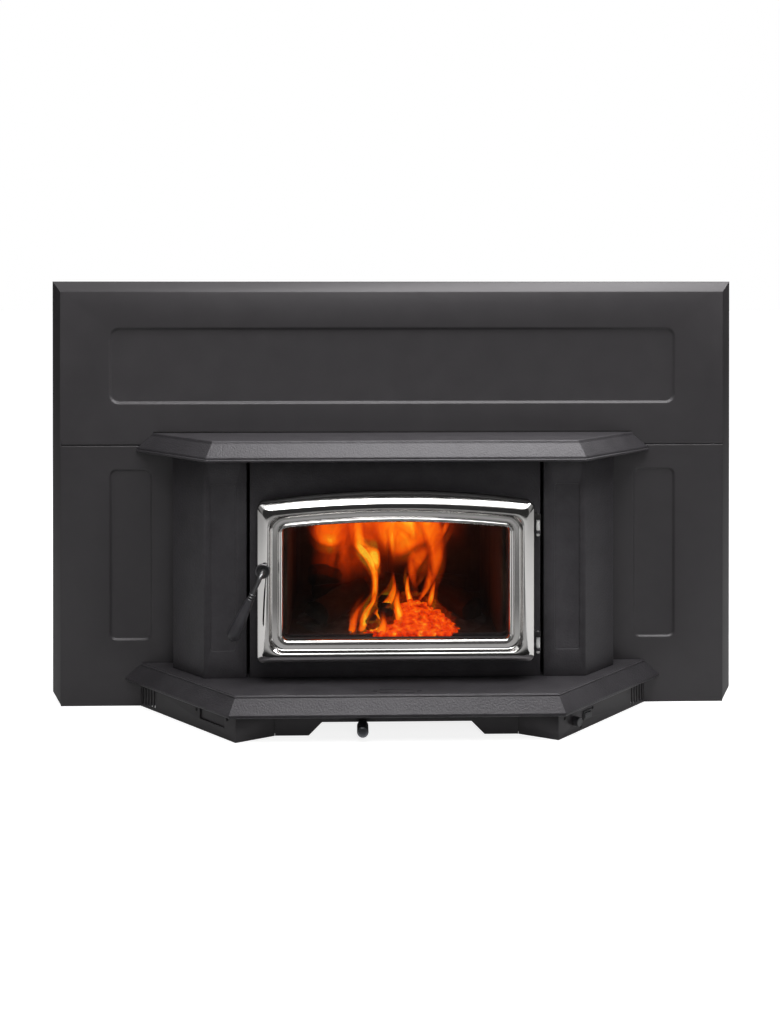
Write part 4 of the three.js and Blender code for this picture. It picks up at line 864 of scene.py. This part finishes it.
# %% Charred wood
def charred(name, start, end, radius, seed, split=False):
    """A charred log between two points in mm, with knots and a rough bark outline."""
    data = bmesh.new()
    start, end = Vector(start), Vector(end)
    length = (end - start).length
    bmesh.ops.create_cone(data, cap_ends=True, segments=28, radius1=1, radius2=1, depth=1)
    along = [e for e in data.edges if abs((e.verts[0].co - e.verts[1].co).z) > 0.5]
    bmesh.ops.subdivide_edges(data, edges=along, cuts=20, use_grid_fill=True)
    turn = Vector((0, 0, 1)).rotation_difference(end - start).to_matrix()
    for vert in data.verts:
        flat = Vector((vert.co.x, vert.co.y, 0))
        where = flat * 1.3 + Vector((0, 0, vert.co.z * length / 60 + seed * 7))
        size = radius * (1 + 0.18 * noise.noise(where * 1.4) + 0.08 * noise.noise(where * 5))
        flat = flat * size
        if split:
            flat.y = min(flat.y, radius * (0.3 + 0.1 * noise.noise(where * 2)))
        lift = noise.noise(where * 2) * 4 if abs(vert.co.z) > 0.49 else 0
        vert.co = (start.lerp(end, 0.5) + turn @ Vector((flat.x, flat.y, vert.co.z * length
                                                         + lift))) / 1000
    bmesh.ops.recalc_face_normals(data, faces=data.faces)
    return finish_piece(name, data, bark, "insert", smooth=55)


charred("log_back", (-150, 232, 152), (150, 210, 152), 30, 1)
charred("log_split_left", (-140, 40, 148), (-62, 190, 156), 26, 2, split=True)
charred("log_top", (-150, 150, 196), (-20, 220, 190), 20, 3)
charred("log_right", (66, 210, 168), (150, 90, 144), 24, 4)
charred("char_middle", (-16, -4, 172), (2, 22, 122), 14, 5)
charred("char_left", (-40, 8, 150), (-24, 30, 124), 11, 6)

# %% [markdown]
# The camera was found by matching the surround's corners, shelves and door to the photograph.
# It stands 2.2 m away, a little left and above, and its lens is shifted, as it is when an
# upright picture is cut from a larger one. Shift is a share of the frame's long side.

# %% Camera
camera = bpy.data.objects.new("camera", bpy.data.cameras.new("camera"))
scene.collection.objects.link(camera)
camera.location = (-0.0767, -2.2, 0.7407)
camera.rotation_euler = (math.radians(90 - 0.23), 0, math.radians(-1.39))
camera.data.sensor_width = 36
camera.data.lens = 1230.8 * 36 / 1024
camera.data.shift_x = 9.4 / 1024
camera.data.shift_y = -217.1 / 1024
scene.camera = camera
print("lens:", round(camera.data.lens, 2), "mm")

# %% [markdown]
# The studio is a pale floor that turns into a white backdrop. Near the object the floor's own
# light stays a little below white, so the lamps' share and the shadow still show; further off
# it is white, so there is no horizon. A bent paper sweep would do the same, but would stand
# in the way of views from behind. Only the camera and, weaker, the mirrors see this light.

# %% Floor
floor_look, shader = blank_material("pale_studio_floor")
wire(floor_look, shader, Base_Color=colour("#b4b4b4"), Roughness=0.9, Specular_IOR_Level=0.1)
spot = add_node(floor_look, "ShaderNodeTexCoord").outputs["Object"]
reach = add_node(floor_look, "ShaderNodeVectorMath", spot, operation="LENGTH")
far = add_node(floor_look, "ShaderNodeMapRange", Value=reach.outputs["Value"],
               From_Min=0.55, From_Max=1.5, To_Min=0.84)
rays = add_node(floor_look, "ShaderNodeLightPath")
seen_by = add_node(floor_look, "ShaderNodeMath", rays.outputs["Is Glossy Ray"], 0.22,
                   rays.outputs["Is Camera Ray"], operation="MULTIPLY_ADD")
own = add_node(floor_look, "ShaderNodeMath", seen_by.outputs[0], far.outputs["Result"],
               operation="MULTIPLY")
shine = add_node(floor_look, "ShaderNodeEmission", Strength=own.outputs[0])
both = add_node(floor_look, "ShaderNodeAddShader", shader.outputs["BSDF"],
                shine.outputs["Emission"])
show(floor_look, both.outputs["Shader"])
data = bmesh.new()
bmesh.ops.create_grid(data, x_segments=1, y_segments=1, size=40)
bmesh.ops.translate(data, vec=mm(0, 0, -0.5), verts=data.verts)
floor = object_of("floor", data, floor_look)
print("floor turns white between 0.55 and 1.5 m")

# %% [markdown]
# The world is the air of the studio: white where the camera or a mirror looks at it, and
# dim where it only lights the object, because the softboxes do that.

# %% World
world = bpy.data.worlds.new("studio")
scene.world = world
world.use_nodes = True
world.node_tree.nodes.clear()
soft = add_node(world, "ShaderNodeBackground", (1, 1, 1, 1), 0.05)
seen = add_node(world, "ShaderNodeBackground", (1, 1, 1, 1), 1.0)
rays = add_node(world, "ShaderNodeLightPath")
looked = rays.outputs["Is Camera Ray"]
for other in ("Is Glossy Ray", "Is Transmission Ray"):
    looked = add_node(world, "ShaderNodeMath", looked, rays.outputs[other],
                      operation="MAXIMUM").outputs[0]
mixer = add_node(world, "ShaderNodeMixShader", looked, soft.outputs[0], seen.outputs[0])
add_node(world, "ShaderNodeOutputWorld", Surface=mixer.outputs[0])
print("world nodes:", len(world.node_tree.nodes))

# %% [markdown]
# Bright plating needs something dark to mirror, or it looks like white paint. Photographers
# stand a dark card behind the camera for this. Here it is a curved wall round the front,
# hidden from the camera: dark in the middle, with a paler strip on each side. A flat grid is
# bent round by its width, which keeps its UV map straight for the strips.


# %% Dark card with two paler strips
def card_surface(material, along, stops):
    """A light of its own, whose level changes along a value between 0 and 1."""
    ramp = add_node(material, "ShaderNodeValToRGB", along, stops=stops)
    shine = add_node(material, "ShaderNodeEmission", ramp.outputs["Color"], 1.0)
    show(material, shine.outputs["Emission"])


card_look = blank_material("studio_card")[0]
spot = add_node(card_look, "ShaderNodeTexCoord").outputs["UV"]
along = add_node(card_look, "ShaderNodeSeparateXYZ", spot).outputs["X"]
card_surface(card_look, along, (
    (0.0, 0.02), (0.2, 0.02), (0.225, 0.2), (0.28, 0.2), (0.31, 0.03), (0.5, 0.03),
    (0.69, 0.03), (0.72, 0.25), (0.775, 0.25), (0.8, 0.04), (1.0, 0.04)))
data = bmesh.new()
data.loops.layers.uv.new("UVMap")
bmesh.ops.create_grid(data, x_segments=48, y_segments=1, size=0.5, calc_uvs=True)
spread, distance, height = math.radians(268), 4.5, 4.2
for vert in data.verts:
    angle = math.radians(-90) + spread * vert.co.x
    vert.co = (distance * math.cos(angle), distance * math.sin(angle),
               height * (vert.co.y + 0.5))
card = object_of("dark_card", data, card_look)
card.visible_camera = False
print("card wall:", distance, "m away and", height, "m high")

# %% [markdown]
# The flat bands of the door's trim lean back a little and mirror the floor in front. A card
# with darker and paler bands lies there, and only mirrors see it.

# %% Grey card on the floor
mat_look = blank_material("studio_floor_card")[0]
spot = add_node(mat_look, "ShaderNodeTexCoord").outputs["Object"]
ahead = add_node(mat_look, "ShaderNodeSeparateXYZ", spot).outputs["Y"]
share = add_node(mat_look, "ShaderNodeMapRange", Value=ahead, From_Min=-0.2, From_Max=-3.2)
card_surface(mat_look, share.outputs["Result"], (
    (0.0, 0.01), (0.07, 0.02), (0.11, 0.42), (0.17, 0.42), (0.24, 0.17), (0.5, 0.2),
    (0.58, 0.42), (0.75, 0.42), (0.85, 0.1)))
data = bmesh.new()
bmesh.ops.create_grid(data, x_segments=1, y_segments=1, size=0.5)
bmesh.ops.scale(data, vec=(1.1, 4.2, 1), verts=data.verts)
bmesh.ops.translate(data, vec=(0, -2.32, 0), verts=data.verts)
floor_card = object_of("floor_card", data, mat_look)
floor_card.visible_camera = False
floor_card.visible_diffuse = False
floor_card.visible_shadow = False
print("floor card: 1.1 by 4.2 m")

# %% [markdown]
# A large softbox above and in front gives the pale top slopes and the dark fronts of the
# photograph. A weak one behind the camera opens up the fronts, hidden from mirrors, and one
# behind the object keeps the casing readable from the back.


# %% Lamps
def softbox(name, place, target, size, watts):
    lamp = bpy.data.lights.new(name, "AREA")
    lamp.shape = "RECTANGLE"
    lamp.size, lamp.size_y = size
    lamp.energy = watts
    made = bpy.data.objects.new(name, lamp)
    scene.collection.objects.link(made)
    made.location = place
    made.rotation_euler = (Vector(target) - Vector(place)).to_track_quat("-Z", "Y").to_euler()
    made.visible_camera = False
    return made


softbox("ceiling_softbox", (0.35, -0.6, 2.0), (0, -0.1, 0.3), (2.6, 1.1), 71)
fill = softbox("front_softbox", (0.5, -3.0, 1.5), (0, 0, 0.35), (1.2, 1.2), 19)
fill.visible_glossy = False
softbox("rear_softbox", (0, 2.6, 1.8), (0, 0.4, 0.3), (2.2, 1.4), 30)

# %% [markdown]
# The Standard view shows the colours as they were set.

# %% Colour management
scene.view_settings.view_transform = "Standard"
